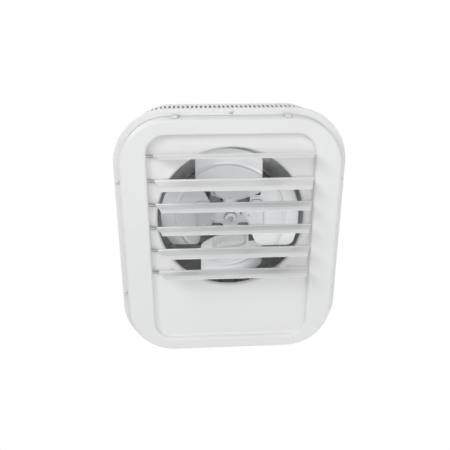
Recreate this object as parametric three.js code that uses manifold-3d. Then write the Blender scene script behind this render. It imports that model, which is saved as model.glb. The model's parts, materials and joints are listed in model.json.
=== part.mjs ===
// Ceiling mounted fan heater: a shallow surface-mounted unit that hangs face down.
//
// Millimetres. +Z is up, towards the ceiling. The origin lies on the ceiling face of the
// back plate, in the middle of the casing. The face that blows looks down (-Z), and the
// wiring end of the unit lies towards +Y.

import * as THREE from 'three';
import { mergeVertices } from 'three/addons/utils/BufferGeometryUtils.js';
import Module from 'manifold-3d';

const wasm = await Module();
wasm.setup();

// ---------------------------------------------------------------- driving dimensions

const gap = 0.3; // clearance kept between pieces that rest on each other
const circleSides = 40; // sides of a large round edge
const smallSides = 12; // sides of a screw head
const pinSides = 8; // sides of a pin, a screw's shank or its hole

// casing
const panelCorner = 78; // outer corner radius of the panel
const wiringSpace = 93; // partition to the panel's near wall
const unitDepth = 122; // ceiling face to the flat face of the front panel
const sheet = 1.2; // thickness of the pressed steel sheets
const plateThickness = 1.6; // thickness of the back plate

// front panel
const panelStand = 26; // how far the panel's face stands out of the trim ring
const panelEdgeRadius = 5; // rounding between the panel's face and its side walls
const skirtOverlap = 8; // how far the panel's side walls run back into the casing
const sideBorder = 39.2; // face between the recess and the panel's side walls
const farBorder = 21.3; // face between the recess and the panel's far wall
const nearBorder = 18.8; // face between the recess and the panel's near wall
const floorMargin = 3.5; // recess floor beside the fan opening
const recessCorner = 36;
const recessDepth = 10; // face to recess floor
const recessLipRadius = 4;
const recessRootRadius = 2.6;

// hooked clips on the panel's far wall
const hookInset = 10.5; // end of the wall's straight part to a clip's middle
const hookHalfWidth = 6.3;
const hookEnd = 4.3; // half width at both ends
const hookWidest = 5.5; // trim ring to the widest place
const hookLength = 20;
const hookReach = 3.8;
const hookSheet = 2.4;

// fan opening
const orificeInset = 26.2; // far end of the recess to the drawn collar
const orificeRadius = 120; // inside of the drawn collar
const orificeFlare = 4.5; // radius of the collar's rounded mouth
const collarDepth = 8; // recess floor to the collar's back edge

// trim ring
const trimWidth = 11.3; // visible width of the ring round the panel
const trimEdge = 4; // depth of the ring's turned edge
const trimEdgeRadius = 1.6;
const seamInset = 5.6; // seam of trim and casing to the partition
const trimScrewInset = 6.4; // side screws to the seam

// perforated casing wall
const slotWidth = 6;
const slotLength = 28;
const slotPitch = 15; // along the wall
const slotRowPitch = 35; // from row to row, towards the ceiling
const slotRows = 2;
const slotMargin = 3; // solid wall between the plate's turned edge and the first row

// louvers
const louverCount = 6;
const louverPitch = 39.9;
const louverInset = 0.4; // end of the recess's rounded corner to the first pivot
const louverPivotDepth = 5.2; // pivot axis behind the panel's face
const louverFlat = 29.6; // pivot to crease
const louverLip = 8.9; // crease to free edge
const louverBend = 22.7; // degrees that the lip turns
const louverSheet = 1.0;
const louverHemRadius = 2.3; // rolled edge round the pivot rod
const louverRestTilt = [-13.5, 2.6, -5.9, -8.9, -7.2, -11.7]; // degrees, as set in use
const louverChamfer = 10; // how far each end is cut back at the free edge
const pivotRadius = 1.5;
const pivotReach = 2; // how far the rod passes the recess wall
const springRoom = 11.5; // wall to louver on the spring side
const springRadius = 2.75;
const springWire = 0.9;

// fan
const tipGap = 5; // blade tips to the drawn collar
const bladeNearSide = 51.5; // blade edge on the side that lies nearer the room
const bladeFarSide = 58.5; // blade edge on the side that lies deeper
const bladeRoot = 33; // inner end of a blade, from the fan's axis
const bladeNearShoulder = 44.5; // where the near edge ends, from the fan's axis
const bladeFarShoulder = 51; // where the far edge ends, over the notch
const bladeNearRoot = 25.5; // half width of the root on the near side
const bladeFarRoot = 33.5; // half width on the far side, beside the notch
const bladePitch = 14; // degrees
const bladeSheet = 1.2;
const bladeCorner = 9; // rounding of the outer corners
const spiderDepth = 28; // spider's middle behind the panel's face
const spiderSheet = 1.6;
const spiderMiddle = 24.4; // where the flat middle ends and the necks begin to turn
const spiderRounding = 7; // inner corners between the arms
const neckHalfWidth = 11.5;
const neckReach = 29; // where the necks widen into the pads
const neckSteps = 3;
const padHalfWidth = 30.3; // arm pads that the blades are riveted to
const padShoulder = 35.2; // where the sides of the pads begin
const padReach = 59;
const hubRadius = 9.6;
const hubFrontDepth = 14; // hub's front behind the panel's face
const hubLength = 17;
const hubChamfer = 1.1; // at the front of the hub's bore
const shaftRadius = 3.2;
const shaftInset = 0.6; // shaft end behind the hub's front

// motor
const motorRadius = 42;
const motorFrontDepth = 46; // front bell behind the panel's face
const bellLength = 9;
const bellTaper = 6; // how much narrower a bell is at its closed end
const statorLength = 30;
const rotorPlay = 1; // rotor to bell, along the shaft
const rotorRadius = 20;
const bracketHalfWidth = 24; // motor bracket, along y
const bracketHalfSpan = 70; // legs of the bracket, along x
const bracketFoot = 26; // length of a foot

// heating elements
const elementRadius = 4; // tube
const innerCoilGap = 20; // motor's side to the middle of the inner coil's tube
const outerCoilGap = 27; // outer coil's tube to the blade tips, seen along the axis
const elementDepth = 74; // coil plane behind the panel's face
const innerLegHalf = 14; // half distance between the inner element's legs
const outerLegHalf = 36;
const elementTail = 14; // how far the legs reach into the wiring space
const supportAngles = [45, 135, 270]; // degrees round the fan's axis, from +x
const supportDrop = 8; // support plate beyond the coil's middle

// wiring space
const bulkheadGap = 29.5; // drawn collar to the partition
const bulkheadInset = 25; // partition's ends to the panel's side walls
const bulkheadDepth = 30; // free edge behind the panel's face
const bulkheadFlange = 15;
const bulkheadScrewX = 83;
const grommetInset = 60; // partition to the cable's hole
const grommetRadius = 11;
const grommetFlange = 3; // flange beyond the hole
const grommetWall = 2;
const wiringInset = 48; // partition to the middle of the terminal block and the relay
const terminalX = -62;
const terminalPoles = 4;
const terminalPitch = 12;
const terminalHalfLength = 11; // along y
const terminalHeight = 16;
const terminalSlit = 2; // width of the slits between the poles
const terminalSlitDepth = 8;
const relayX = 58;
const relayHalfWidth = 22;
const relayHalfLength = 16;
const relayHeight = 30;
const limitX = -90;
const limitRadius = 12;
const limitCapRadius = 8;
const limitRim = 7;
const limitHeight = 12;
const groundInset = 34; // partition to the ground screw
const postGap = 14.2; // drawn collar to the posts that the panel's screws go into
const postAngle = 41.8; // degrees that the posts stand round from the louvers' direction
const postRadius = 5;
const postSides = 6;
const postBore = 12; // depth of the threaded bore

// ceiling plate
const keyholeInset = 65; // from the panel's walls, both ways
const keyholeHead = 6; // radius of the round end
const keyholeSlot = 3; // half width of the slot
const keyholeRun = 12;
const plateFlange = 12; // depth of the plate's turned edge
const ribInset = 40; // ribs pressed into the plate, from the panel's side walls
const ribHalfWidth = 5;
const ribHeight = 2.4;

// fasteners
const screwHead = 3.6; // radius
const screwHeadHeight = 2;
const screwShank = 1.9;

// colours
const white = { color: 0xf2f2ef, roughness: 0.45, metalness: 0.0 };
const whiteLouver = { color: 0xf5f5f2, roughness: 0.4, metalness: 0.0 };
const zinc = { color: 0xb9bcbf, roughness: 0.38, metalness: 0.9 };
const aluminium = { color: 0xd4d6d8, roughness: 0.3, metalness: 0.95 };
const steel = { color: 0x9a9da0, roughness: 0.35, metalness: 1.0 };
const motorGrey = { color: 0x9a9c9e, roughness: 0.55, metalness: 0.3 };
const elementSteel = { color: 0x6d6a66, roughness: 0.5, metalness: 0.85 };
const nylon = { color: 0xe4e2da, roughness: 0.55, metalness: 0.0 };
const blackPlastic = { color: 0x26272a, roughness: 0.5, metalness: 0.0 };

// ---------------------------------------------------------------- worked out from them

// across: the fan opening sets the recess, and the recess sets the panel
const rootInset = recessLipRadius + recessRootRadius; // where the recess floor begins
const recessHalf = orificeRadius + orificeFlare + sheet + floorMargin + rootInset;
const recessWall = recessHalf - recessLipRadius; // inner side of the recess wall
const halfWidth = recessHalf + sideBorder;

// along: borders, fan opening and wiring space follow each other
const panelLength = farBorder + orificeInset + 2 * orificeRadius + bulkheadGap + wiringSpace;
const halfLength = panelLength / 2;
const recessFar = -halfLength + farBorder;
const recessNear = halfLength - nearBorder;
const fanY = recessFar + orificeInset + orificeRadius;
const bulkheadY = fanY + orificeRadius + bulkheadGap; // partition's side towards the fan
const seamY = bulkheadY - seamInset;
const trimScrewY = seamY - trimScrewInset; // side screws, both ways from the middle
const louverFirstY = recessFar + recessCorner + louverInset;

// in depth
const faceZ = -unitDepth;
const ringZ = faceZ + panelStand; // front of the trim ring
const floorZ = faceZ + recessDepth; // front of the recess floor
const insideZ = -plateThickness; // underside of the back plate
const louverZ = faceZ + louverPivotDepth;

// round the fan
const fanRadius = orificeRadius - tipGap;
const innerCoilRadius = motorRadius + innerCoilGap;
const outerCoilRadius = fanRadius - outerCoilGap;
const postX = (orificeRadius + postGap) * Math.cos((postAngle * Math.PI) / 180);
const postY = fanY + (orificeRadius + postGap) * Math.sin((postAngle * Math.PI) / 180);

const keyholeX = halfWidth - keyholeInset;
const keyholeY = halfLength - keyholeInset;
const ribX = halfWidth - ribInset;
const hookX = halfWidth - panelCorner - hookInset;
const bulkheadHalfWidth = halfWidth - bulkheadInset;
const grommetY = bulkheadY + grommetInset;
const wiringY = bulkheadY + wiringInset;
const groundScrewY = bulkheadY + groundInset;

const wallOutset = gap + sheet; // the panel's side walls slide inside the casing wall
const wallHalfWidth = halfWidth + wallOutset;
const wallHalfLength = halfLength + wallOutset;
const wallCorner = panelCorner + wallOutset;
const trimHalfWidth = halfWidth + trimWidth;
const trimHalfLength = halfLength + trimWidth;
const trimCorner = panelCorner + trimWidth;

const sides = [-1, 1]; // left and right, or the far and the near end
const radians = (degrees) => THREE.MathUtils.degToRad(degrees);
const depth = (behindFace) => faceZ + behindFace;

// ---------------------------------------------------------------- solids and booleans

function solid(geometry) {
  const bare = geometry.clone();
  bare.deleteAttribute('normal');
  bare.deleteAttribute('uv');
  const merged = mergeVertices(bare, 1e-5);
  return new wasm.Manifold(new wasm.Mesh({
    numProp: 3,
    vertProperties: new Float32Array(merged.attributes.position.array),
    triVerts: new Uint32Array(merged.index.array),
  }));
}

function geometryOf(body) {
  const mesh = body.getMesh();
  const geometry = new THREE.BufferGeometry();
  geometry.setAttribute('position', new THREE.BufferAttribute(mesh.vertProperties, 3));
  geometry.setIndex(new THREE.BufferAttribute(mesh.triVerts, 1));
  geometry.computeVertexNormals();
  return geometry;
}

const union = (...bodies) => bodies.reduce((a, b) => a.add(b));
const cut = (body, ...tools) => tools.reduce((a, b) => a.subtract(b), body);

function block(x0, x1, y0, y1, z0, z1) {
  const geometry = new THREE.BoxGeometry(x1 - x0, y1 - y0, z1 - z0);
  return solid(geometry.translate((x0 + x1) / 2, (y0 + y1) / 2, (z0 + z1) / 2));
}

// A round bar or disc along Z, from z0 to z1.
function disc(radius, z0, z1, x = 0, y = 0, sides = smallSides) {
  const geometry = new THREE.CylinderGeometry(radius, radius, z1 - z0, sides);
  return solid(geometry.rotateX(Math.PI / 2).translate(x, y, (z0 + z1) / 2));
}

// A round bar along X, from x0 to x1.
function rodX(radius, x0, x1, y, z, sides = smallSides) {
  const geometry = new THREE.CylinderGeometry(radius, radius, x1 - x0, sides);
  return solid(geometry.rotateZ(Math.PI / 2).translate((x0 + x1) / 2, y, z));
}

// A body of revolution about Z from [radius, z] points that start and end on the axis or
// come back to their start.
function turned(points, sides = circleSides) {
  const profile = points.map(([r, z]) => new THREE.Vector2(r, z));
  return solid(new THREE.LatheGeometry(profile, sides).rotateX(Math.PI / 2));
}

function extruded(shape, z0, z1, curveSegments = 8) {
  const geometry = new THREE.ExtrudeGeometry(shape, {
    depth: z1 - z0, bevelEnabled: false, curveSegments,
  });
  return solid(geometry.translate(0, 0, z0));
}

// ---------------------------------------------------------------- rounded rectangles

const cornerSteps = 7;

// Points of a rounded rectangle from y0 to y1, counter-clockwise.
function roundedPoints(half, y0, y1, radius) {
  const corners = [
    [half - radius, y1 - radius, 0],
    [-half + radius, y1 - radius, 90],
    [-half + radius, y0 + radius, 180],
    [half - radius, y0 + radius, 270],
  ];
  return corners.flatMap(([cx, cy, start]) =>
    Array.from({ length: cornerSteps + 1 }, (_, i) => {
      const angle = radians(start + (90 * i) / cornerSteps);
      return new THREE.Vector2(cx + radius * Math.cos(angle), cy + radius * Math.sin(angle));
    }));
}

const roundedShape = (half, y0, y1, radius) =>
  new THREE.Shape(roundedPoints(half, y0, y1, radius));

// A strip of sheet that follows a rounded rectangle. The section is a closed list of
// [inset, z] points, clockwise when the inset runs to the right and z upwards.
function band(half, y0, y1, radius, section) {
  const rings = section.map(([inset, z]) =>
    roundedPoints(half - inset, y0 + inset, y1 - inset, radius - inset)
      .map((p) => [p.x, p.y, z]));
  const count = rings[0].length;
  const index = [];
  for (let ring = 0; ring < rings.length; ring += 1) {
    const next = (ring + 1) % rings.length;
    for (let i = 0; i < count; i += 1) {
      const j = (i + 1) % count;
      const a = ring * count + i;
      const b = ring * count + j;
      const c = next * count + j;
      const d = next * count + i;
      index.push(a, b, c, a, c, d);
    }
  }
  const geometry = new THREE.BufferGeometry();
  const positions = new Float32Array(rings.flat(2));
  geometry.setAttribute('position', new THREE.BufferAttribute(positions, 3));
  geometry.setIndex(index);
  return solid(geometry);
}

// Points of an arc in [inset, z], from one angle to another about a centre.
function arc(inset, z, radius, from, to, steps = 3) {
  return Array.from({ length: steps + 1 }, (_, i) => {
    const angle = radians(from + ((to - from) * i) / steps);
    return [inset + radius * Math.cos(angle), z + radius * Math.sin(angle)];
  });
}

// ---------------------------------------------------------------- the assembly

const heater = new THREE.Group();

function add(name, body, look, parent = heater) {
  const material = new THREE.MeshStandardMaterial(look);
  const mesh = new THREE.Mesh(geometryOf(body), material);
  mesh.name = name;
  parent.add(mesh);
  return mesh;
}

// ---------------------------------------------------------------- ceiling plate

function keyhole(x, y) {
  const through = [insideZ - 1, 1];
  const round = disc(keyholeHead, ...through, x, y);
  const slot = block(x - keyholeSlot, x + keyholeSlot, y - keyholeRun, y, ...through);
  return round.add(slot);
}

// Screws that go up into the ceiling plate: name, x, y and thickness of what they hold.
const bracketFootX = bracketHalfSpan + 0.6 * bracketFoot;
const bulkheadScrewY = bulkheadY - bulkheadFlange / 2;
const plateScrews = [
  ['bracket_screw_left', -bracketFootX, fanY, plateThickness],
  ['bracket_screw_right', bracketFootX, fanY, plateThickness],
  ['bulkhead_screw_left', -bulkheadScrewX, bulkheadScrewY, sheet],
  ['bulkhead_screw_right', bulkheadScrewX, bulkheadScrewY, sheet],
  ['ground_screw', 0, groundScrewY, -gap],
];

function screwDown(x, y, seat, end) {
  const head = disc(screwHead, seat - gap - screwHeadHeight, seat - gap, x, y);
  return head.add(disc(screwShank, seat - gap - screwHeadHeight / 2, end, x, y, pinSides));
}

function backPlate() {
  const half = wallHalfWidth - sheet - gap;
  const halfY = wallHalfLength - sheet - gap;
  const corner = wallCorner - sheet - gap;
  const plate = extruded(roundedShape(half, -halfY, halfY, corner), insideZ, 0);
  const flange = band(half, -halfY, halfY, corner, [
    [0, -plateFlange], [0, 0], [plateThickness, 0], [plateThickness, -plateFlange],
  ]);
  const ribEnd = bulkheadY - bulkheadFlange - 2 * ribHalfWidth;
  const rib = (side, inset, z0, z1) => block(
    side * ribX - ribHalfWidth + inset, side * ribX + ribHalfWidth - inset,
    -ribEnd + inset, ribEnd - inset, z0, z1);
  const ribs = sides.map((side) => rib(side, 0, insideZ - ribHeight, insideZ));
  const grooves = sides.map((side) => rib(side, sheet, insideZ - ribHeight + sheet, 1));
  const keyholes = sides.flatMap((sx) =>
    sides.map((sy) => keyhole(sx * keyholeX, sy * keyholeY)));
  const inlet = disc(grommetRadius, insideZ - 1, 1, 0, grommetY, 24);
  const screwHoles = plateScrews.map(([, x, y]) =>
    disc(screwShank + gap, insideZ - 1, 1, x, y, pinSides));
  return cut(union(plate, flange, ...ribs), ...grooves, ...keyholes, ...screwHoles, inlet);
}

add('back_plate', backPlate(), zinc);
for (const [name, x, y, held] of plateScrews) {
  add(name, screwDown(x, y, insideZ - gap - held, -gap), zinc);
}

// ---------------------------------------------------------------- perforated casing

const wallFront = ringZ + sheet + gap; // where the casing meets the trim ring
const flangeOutset = trimWidth - wallOutset - sheet - gap; // casing flange behind the ring

const trimScrews = [
  ['top', 0, -halfLength - trimWidth / 2],
  ['bottom', 0, halfLength + trimWidth / 2],
  ['upper_left', -halfWidth - trimWidth / 2, -trimScrewY],
  ['upper_right', halfWidth + trimWidth / 2, -trimScrewY],
  ['lower_left', -halfWidth - trimWidth / 2, trimScrewY],
  ['lower_right', halfWidth + trimWidth / 2, trimScrewY],
];

const trimScrewHoles = () => trimScrews.map(([, x, y]) =>
  disc(screwShank + gap, ringZ - 1, wallFront + sheet + 1, x, y, 12));

function slotTools() {
  const straight = [];
  const round = [];
  const straightX = wallHalfWidth - wallCorner;
  const straightY = wallHalfLength - wallCorner;
  const cornerStep = slotPitch / wallCorner; // radians from slot to slot round a corner
  for (let row = 0; row < slotRows; row += 1) {
    const top = -slotMargin - plateFlange - row * slotRowPitch;
    const odd = row % 2; // every second row is set off by half a pitch
    const rowSlots = (reach, place) => {
      const steps = Math.floor(reach / slotPitch);
      for (let i = -steps; i <= steps - odd; i += 1) place(i * slotPitch + (odd * slotPitch) / 2);
    };
    rowSlots(straightX, (x) => straight.push([x - slotWidth / 2, x + slotWidth / 2,
      -wallHalfLength - 1, wallHalfLength + 1, top - slotLength, top]));
    rowSlots(straightY, (y) => straight.push([-wallHalfWidth - 1, wallHalfWidth + 1,
      y - slotWidth / 2, y + slotWidth / 2, top - slotLength, top]));
    const count = Math.floor(Math.PI / 2 / cornerStep) + odd;
    const slot = block(-slotWidth / 2, slotWidth / 2, wallCorner - 3 * sheet, wallCorner + 1,
      top - slotLength, top);
    for (let i = 0; i < 4 * count; i += 1) {
      const middle = (Math.PI / 4) * (2 * Math.floor(i / count) + 1);
      const turn = middle + ((i % count) - (count - 1) / 2) * cornerStep;
      round.push(slot.rotate([0, 0, THREE.MathUtils.radToDeg(turn)]).translate([
        -Math.sign(Math.sin(turn)) * straightX, Math.sign(Math.cos(turn)) * straightY, 0]));
    }
  }
  const clearOfSeam = ([, , y0, y1]) =>
    y1 - y0 > panelLength || y1 < seamY - slotWidth || y0 > seamY + slotWidth;
  return [...straight.filter(clearOfSeam).map((box) => block(...box)), ...round];
}

function casingWall() {
  const body = band(wallHalfWidth, -wallHalfLength, wallHalfLength, wallCorner, [
    [-flangeOutset, wallFront], [-flangeOutset, wallFront + sheet], [0, wallFront + sheet],
    [0, 0], [sheet, 0], [sheet, wallFront],
  ]);
  return cut(body, ...slotTools(), ...trimScrewHoles());
}

const everything = 2 * panelLength;
const beforeSeam = () => block(-everything, everything, -everything, seamY - gap / 2,
  -everything, everything);
const afterSeam = () => block(-everything, everything, seamY + gap / 2, everything,
  -everything, everything);

const wall = casingWall();
add('casing_upper', wall.intersect(beforeSeam()), white);
add('casing_lower', wall.intersect(afterSeam()), white);

// ---------------------------------------------------------------- trim ring

function trimRing() {
  const radius = trimEdgeRadius;
  const inner = trimWidth - gap; // the ring ends beside the panel's side walls
  const body = band(trimHalfWidth, -trimHalfLength, trimHalfLength, trimCorner, [
    ...arc(radius, ringZ + radius, radius, 270, 180),
    [0, ringZ + trimEdge], [sheet, ringZ + trimEdge],
    ...arc(radius, ringZ + radius, radius - sheet, 180, 270),
    [inner, ringZ + sheet], [inner, ringZ],
  ]);
  return cut(body, ...trimScrewHoles());
}

const ring = trimRing();
add('trim_upper', ring.intersect(beforeSeam()), white);
add('trim_lower', ring.intersect(afterSeam()), white);

const trimScrewLength = 8;
for (const [place, x, y] of trimScrews) {
  add(`trim_screw_${place}`, screwDown(x, y, ringZ, ringZ + trimScrewLength), zinc);
}

// ---------------------------------------------------------------- front panel

function panelEdge() {
  const radius = panelEdgeRadius;
  return band(halfWidth, -halfLength, halfLength, panelCorner, [
    ...arc(radius, faceZ + radius, radius, 270, 180),
    [0, ringZ + skirtOverlap], [sheet, ringZ + skirtOverlap],
    ...arc(radius, faceZ + radius, radius - sheet, 180, 270),
    [radius + 2 * sheet, faceZ + sheet], [radius + 2 * sheet, faceZ],
  ]);
}

function panelFace() {
  const inset = panelEdgeRadius + sheet;
  const shape = roundedShape(halfWidth - inset, -halfLength + inset, halfLength - inset,
    panelCorner - inset);
  shape.holes.push(new THREE.Path(
    roundedPoints(recessHalf + sheet, recessFar - sheet, recessNear + sheet,
      recessCorner + sheet).reverse()));
  return extruded(shape, faceZ, faceZ + sheet);
}


function recessWallBand() {
  const lip = recessLipRadius;
  const root = recessRootRadius;
  const visible = [
    [-2 * sheet, faceZ],
    ...arc(0, faceZ + lip, lip, 270, 360),
    ...arc(rootInset, floorZ - root, root, 180, 90),
    [rootInset + 2 * sheet, floorZ],
  ];
  const hidden = [
    [rootInset + 2 * sheet, floorZ + sheet],
    ...arc(rootInset, floorZ - root, root + sheet, 90, 180),
    ...arc(0, faceZ + lip, lip - sheet, 360, 270),
    [-2 * sheet, faceZ + sheet],
  ];
  return band(recessHalf, recessFar, recessNear, recessCorner,
    [...visible, ...hidden].reverse());
}

function recessFloor() {
  const inset = rootInset + sheet;
  const shape = roundedShape(recessHalf - inset, recessFar + inset, recessNear - inset,
    recessCorner - inset);
  const hole = new THREE.Path();
  hole.absarc(0, fanY, orificeRadius + orificeFlare + sheet, 0, 2 * Math.PI, true);
  shape.holes.push(hole);
  return extruded(shape, floorZ, floorZ + sheet, circleSides / 2);
}

function collar() {
  const flare = orificeFlare;
  const mouth = orificeRadius + flare;
  const body = turned([
    ...arc(mouth, floorZ + flare, flare, 180, 270),
    [mouth + 2 * sheet, floorZ], [mouth + 2 * sheet, floorZ + sheet],
    ...arc(mouth, floorZ + flare, flare - sheet, 270, 180),
    [orificeRadius + sheet, floorZ + collarDepth], [orificeRadius, floorZ + collarDepth],
    [orificeRadius, floorZ + flare],
  ]);
  return body.translate([0, fanY, 0]);
}

const louverY = (i) => louverFirstY + i * louverPitch;
const louverIndexes = Array.from({ length: louverCount }, (_, i) => i);

function frontPanel() {
  const reach = recessHalf + 2 * recessLipRadius;
  const pivotHoles = louverIndexes.map((i) =>
    rodX(pivotRadius + gap, -reach, reach, louverY(i), louverZ, pinSides));
  const screwHoles = sides.map((side) =>
    disc(screwShank + gap, floorZ - 1, floorZ + sheet + 1, side * postX, postY, pinSides));
  const body = union(panelEdge(), panelFace(), recessWallBand(), recessFloor(), collar());
  return cut(body, ...pivotHoles, ...screwHoles);
}

add('front_panel', frontPanel(), white);

// Two hooked clips hold the panel's far wall at the trim ring.
function hookClip(x) {
  const seat = -halfLength - gap;
  const top = ringZ - gap;
  const rounding = hookSheet / 2;
  const plate = extruded(roundedOutline([
    [-hookEnd, -hookLength, rounding], [hookEnd, -hookLength, rounding],
    [hookHalfWidth, -hookWidest, rounding], [hookEnd, 0, 0],
    [-hookEnd, 0, 0], [-hookHalfWidth, -hookWidest, rounding],
  ]), 0, hookSheet, 3).rotate([90, 0, 0]).translate([x, seat, top]);
  const lip = block(x - hookEnd, x + hookEnd, seat - hookReach, seat, top - hookSheet, top);
  return plate.add(lip);
}

add('hook_clip_left', hookClip(-hookX), zinc);
add('hook_clip_right', hookClip(hookX), zinc);

// ---------------------------------------------------------------- louvers

const louverLeft = -recessWall + springRoom;
const louverRight = recessWall - 2 * gap;

// A louver in its own frame: the pivot rod lies on X and the blade hangs towards -Z.
function louver() {
  const half = louverSheet / 2;
  const chord = louverFlat + louverLip;
  const flat = block(louverLeft, louverRight, -half, half, -louverFlat, 0);
  const lip = block(louverLeft, louverRight, -half, half, -louverLip, 0)
    .rotate([louverBend, 0, 0]).translate([0, 0, -louverFlat]);
  const crease = rodX(half, louverLeft, louverRight, 0, -louverFlat, 8);
  const hem = rodX(louverHemRadius, louverLeft, louverRight, 0, 0, pinSides);
  const blade = union(flat, lip, crease, hem);
  const corner = (x, inward) => {
    const shape = new THREE.Shape([
      new THREE.Vector2(x, -louverHemRadius),
      new THREE.Vector2(x + inward * louverChamfer, -chord),
      new THREE.Vector2(x + inward * louverChamfer, -2 * chord),
      new THREE.Vector2(x - inward * louverChamfer, -2 * chord),
      new THREE.Vector2(x - inward * louverChamfer, -louverHemRadius),
    ]);
    const geometry = new THREE.ExtrudeGeometry(shape, { depth: chord, bevelEnabled: false });
    return solid(geometry.translate(0, 0, -chord / 2).rotateX(Math.PI / 2));
  };
  const rodEnd = recessWall + sheet + pivotReach;
  const rod = rodX(pivotRadius, -rodEnd, rodEnd, 0, 0, pinSides);
  return cut(blade, corner(louverLeft, 1), corner(louverRight, -1)).add(rod);
}

const louverBody = louver();
for (const i of louverIndexes) {
  const mesh = add(`louver_${i + 1}`, louverBody, whiteLouver);
  mesh.position.set(0, louverY(i), louverZ);
  mesh.rotation.x = radians(louverRestTilt[i]);
}

// The coil spring on each rod's left end presses the louver against the far wall.
function spring() {
  const length = springRoom - 2 * gap;
  const inner = springRadius - springWire;
  const tube = turned([[inner, 0], [springRadius, 0], [springRadius, length],
    [inner, length], [inner, 0]], pinSides);
  return tube.rotate([0, 90, 0]).translate([-recessWall + gap, 0, 0]);
}

const springBody = spring();
for (const i of louverIndexes) {
  add(`louver_spring_${i + 1}`, springBody, steel).position.set(0, louverY(i), louverZ);
}

// ---------------------------------------------------------------- fan

const fan = new THREE.Group();
fan.position.set(0, fanY, 0);
heater.add(fan);

// A closed outline from [x, y, rounding] corners.
function roundedOutline(corners) {
  const shape = new THREE.Shape();
  corners.forEach(([x, y, rounding], i) => {
    const point = new THREE.Vector2(x, y);
    const towards = (other) => new THREE.Vector2(other[0], other[1]).sub(point)
      .setLength(rounding).add(point);
    const from = towards(corners.at(i - 1));
    const to = towards(corners[(i + 1) % corners.length]);
    if (i === 0) shape.moveTo(from.x, from.y);
    else shape.lineTo(from.x, from.y);
    if (rounding) shape.quadraticCurveTo(x, y, to.x, to.y);
  });
  shape.closePath();
  return shape;
}

const slightCorner = bladeCorner / 4;

// A blade that points towards -Y, flat in the XY plane.
function bladeShape() {
  const tip = [-0.75, -0.45, -0.15, 0.15, 0.45, 0.75].map((share) => {
    const x = share * bladeNearSide;
    return [x, -Math.sqrt(fanRadius ** 2 - x ** 2), 0];
  });
  const farTip = -Math.sqrt(fanRadius ** 2 - bladeFarSide ** 2);
  const nearTip = -Math.sqrt(fanRadius ** 2 - bladeNearSide ** 2);
  return roundedOutline([
    [-bladeFarSide, farTip, bladeCorner], ...tip, [bladeNearSide, nearTip, bladeCorner],
    [bladeNearSide, -bladeNearShoulder, bladeCorner], [bladeNearRoot, -bladeRoot, slightCorner],
    [-bladeFarRoot, -bladeRoot, slightCorner], [-bladeFarRoot, -bladeFarShoulder, slightCorner],
    [-bladeFarSide, -bladeFarShoulder, bladeCorner],
  ]);
}

const quarterTurns = [0, 90, 180, 270];
const spiderZ = depth(spiderDepth);

function pitched(body, quarter) {
  return body.rotate([0, bladePitch, 0]).translate([0, 0, spiderZ]).rotate([0, 0, quarter]);
}

function blade(quarter) {
  const back = spiderSheet / 2 + gap;
  return pitched(extruded(bladeShape(), back, back + bladeSheet, 3), quarter);
}

// The neck between the flat middle and a pad, which turns step by step to the blade's pitch.
function neck() {
  const half = spiderSheet / 2;
  const sections = Array.from({ length: neckSteps + 1 }, (_, i) => {
    const share = i / neckSteps;
    const reach = spiderMiddle + (neckReach - spiderMiddle) * share;
    return block(-neckHalfWidth, neckHalfWidth, -reach - half, -reach + half, -half, half)
      .rotate([0, bladePitch * share, 0]);
  });
  return union(...sections.slice(1).map((section, i) =>
    wasm.Manifold.hull([sections[i], section])));
}

function spider() {
  const half = spiderSheet / 2;
  const pad = extruded(roundedOutline([
    [-padHalfWidth, -padReach, bladeCorner], [padHalfWidth, -padReach, bladeCorner],
    [padHalfWidth, -padShoulder, 2 * slightCorner], [neckHalfWidth, -neckReach, 0],
    [-neckHalfWidth, -neckReach, 0], [-padHalfWidth, -padShoulder, 2 * slightCorner],
  ]), -half, half, 4);
  const middle = extruded(roundedOutline(quarterTurns.flatMap((quarter) => [
    [-neckHalfWidth, -spiderMiddle, 0], [neckHalfWidth, -spiderMiddle, 0],
    [neckHalfWidth, -neckHalfWidth, spiderRounding],
  ].map(([x, y, rounding]) => {
    const corner = new THREE.Vector2(x, y).rotateAround(new THREE.Vector2(), radians(quarter));
    return [corner.x, corner.y, rounding];
  }))), spiderZ - half, spiderZ + half, 4);
  const twisted = neck().translate([0, 0, spiderZ]);
  const arms = quarterTurns.flatMap((quarter) =>
    [pitched(pad, quarter), twisted.rotate([0, 0, quarter])]);
  const hubHole = disc(hubRadius + gap, depth(0), depth(2 * spiderDepth), 0, 0, 24);
  return cut(union(middle, ...arms), hubHole);
}

add('fan_spider', spider(), zinc, fan);
quarterTurns.forEach((quarter, i) => add(`fan_blade_${i + 1}`, blade(quarter), aluminium, fan));

const ringBody = (outer, inner, z0, z1, sides = 24) =>
  turned([[inner, z0], [outer, z0], [outer, z1], [inner, z1], [inner, z0]], sides);

const boreRadius = shaftRadius + gap;
const hubFront = depth(hubFrontDepth);
const hubBack = hubFront + hubLength;
add('fan_hub', turned([
  [boreRadius + hubChamfer, hubFront], [hubRadius, hubFront], [hubRadius, hubBack],
  [boreRadius, hubBack], [boreRadius, hubFront + hubChamfer], [boreRadius + hubChamfer, hubFront],
], 24), zinc, fan);

// ---------------------------------------------------------------- motor

const motorFront = depth(motorFrontDepth);
const statorFront = motorFront + bellLength + gap;
const statorBack = statorFront + statorLength;
const motorBack = statorBack + gap + bellLength;
const shaftFront = hubFront + shaftInset;
const rotorFront = statorFront + rotorPlay;
const rotorBack = statorBack - rotorPlay;

add('motor_shaft', disc(shaftRadius, shaftFront, motorBack - gap), steel, fan);
add('motor_rotor', ringBody(rotorRadius, boreRadius, rotorFront, rotorBack), steel, fan);

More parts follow.
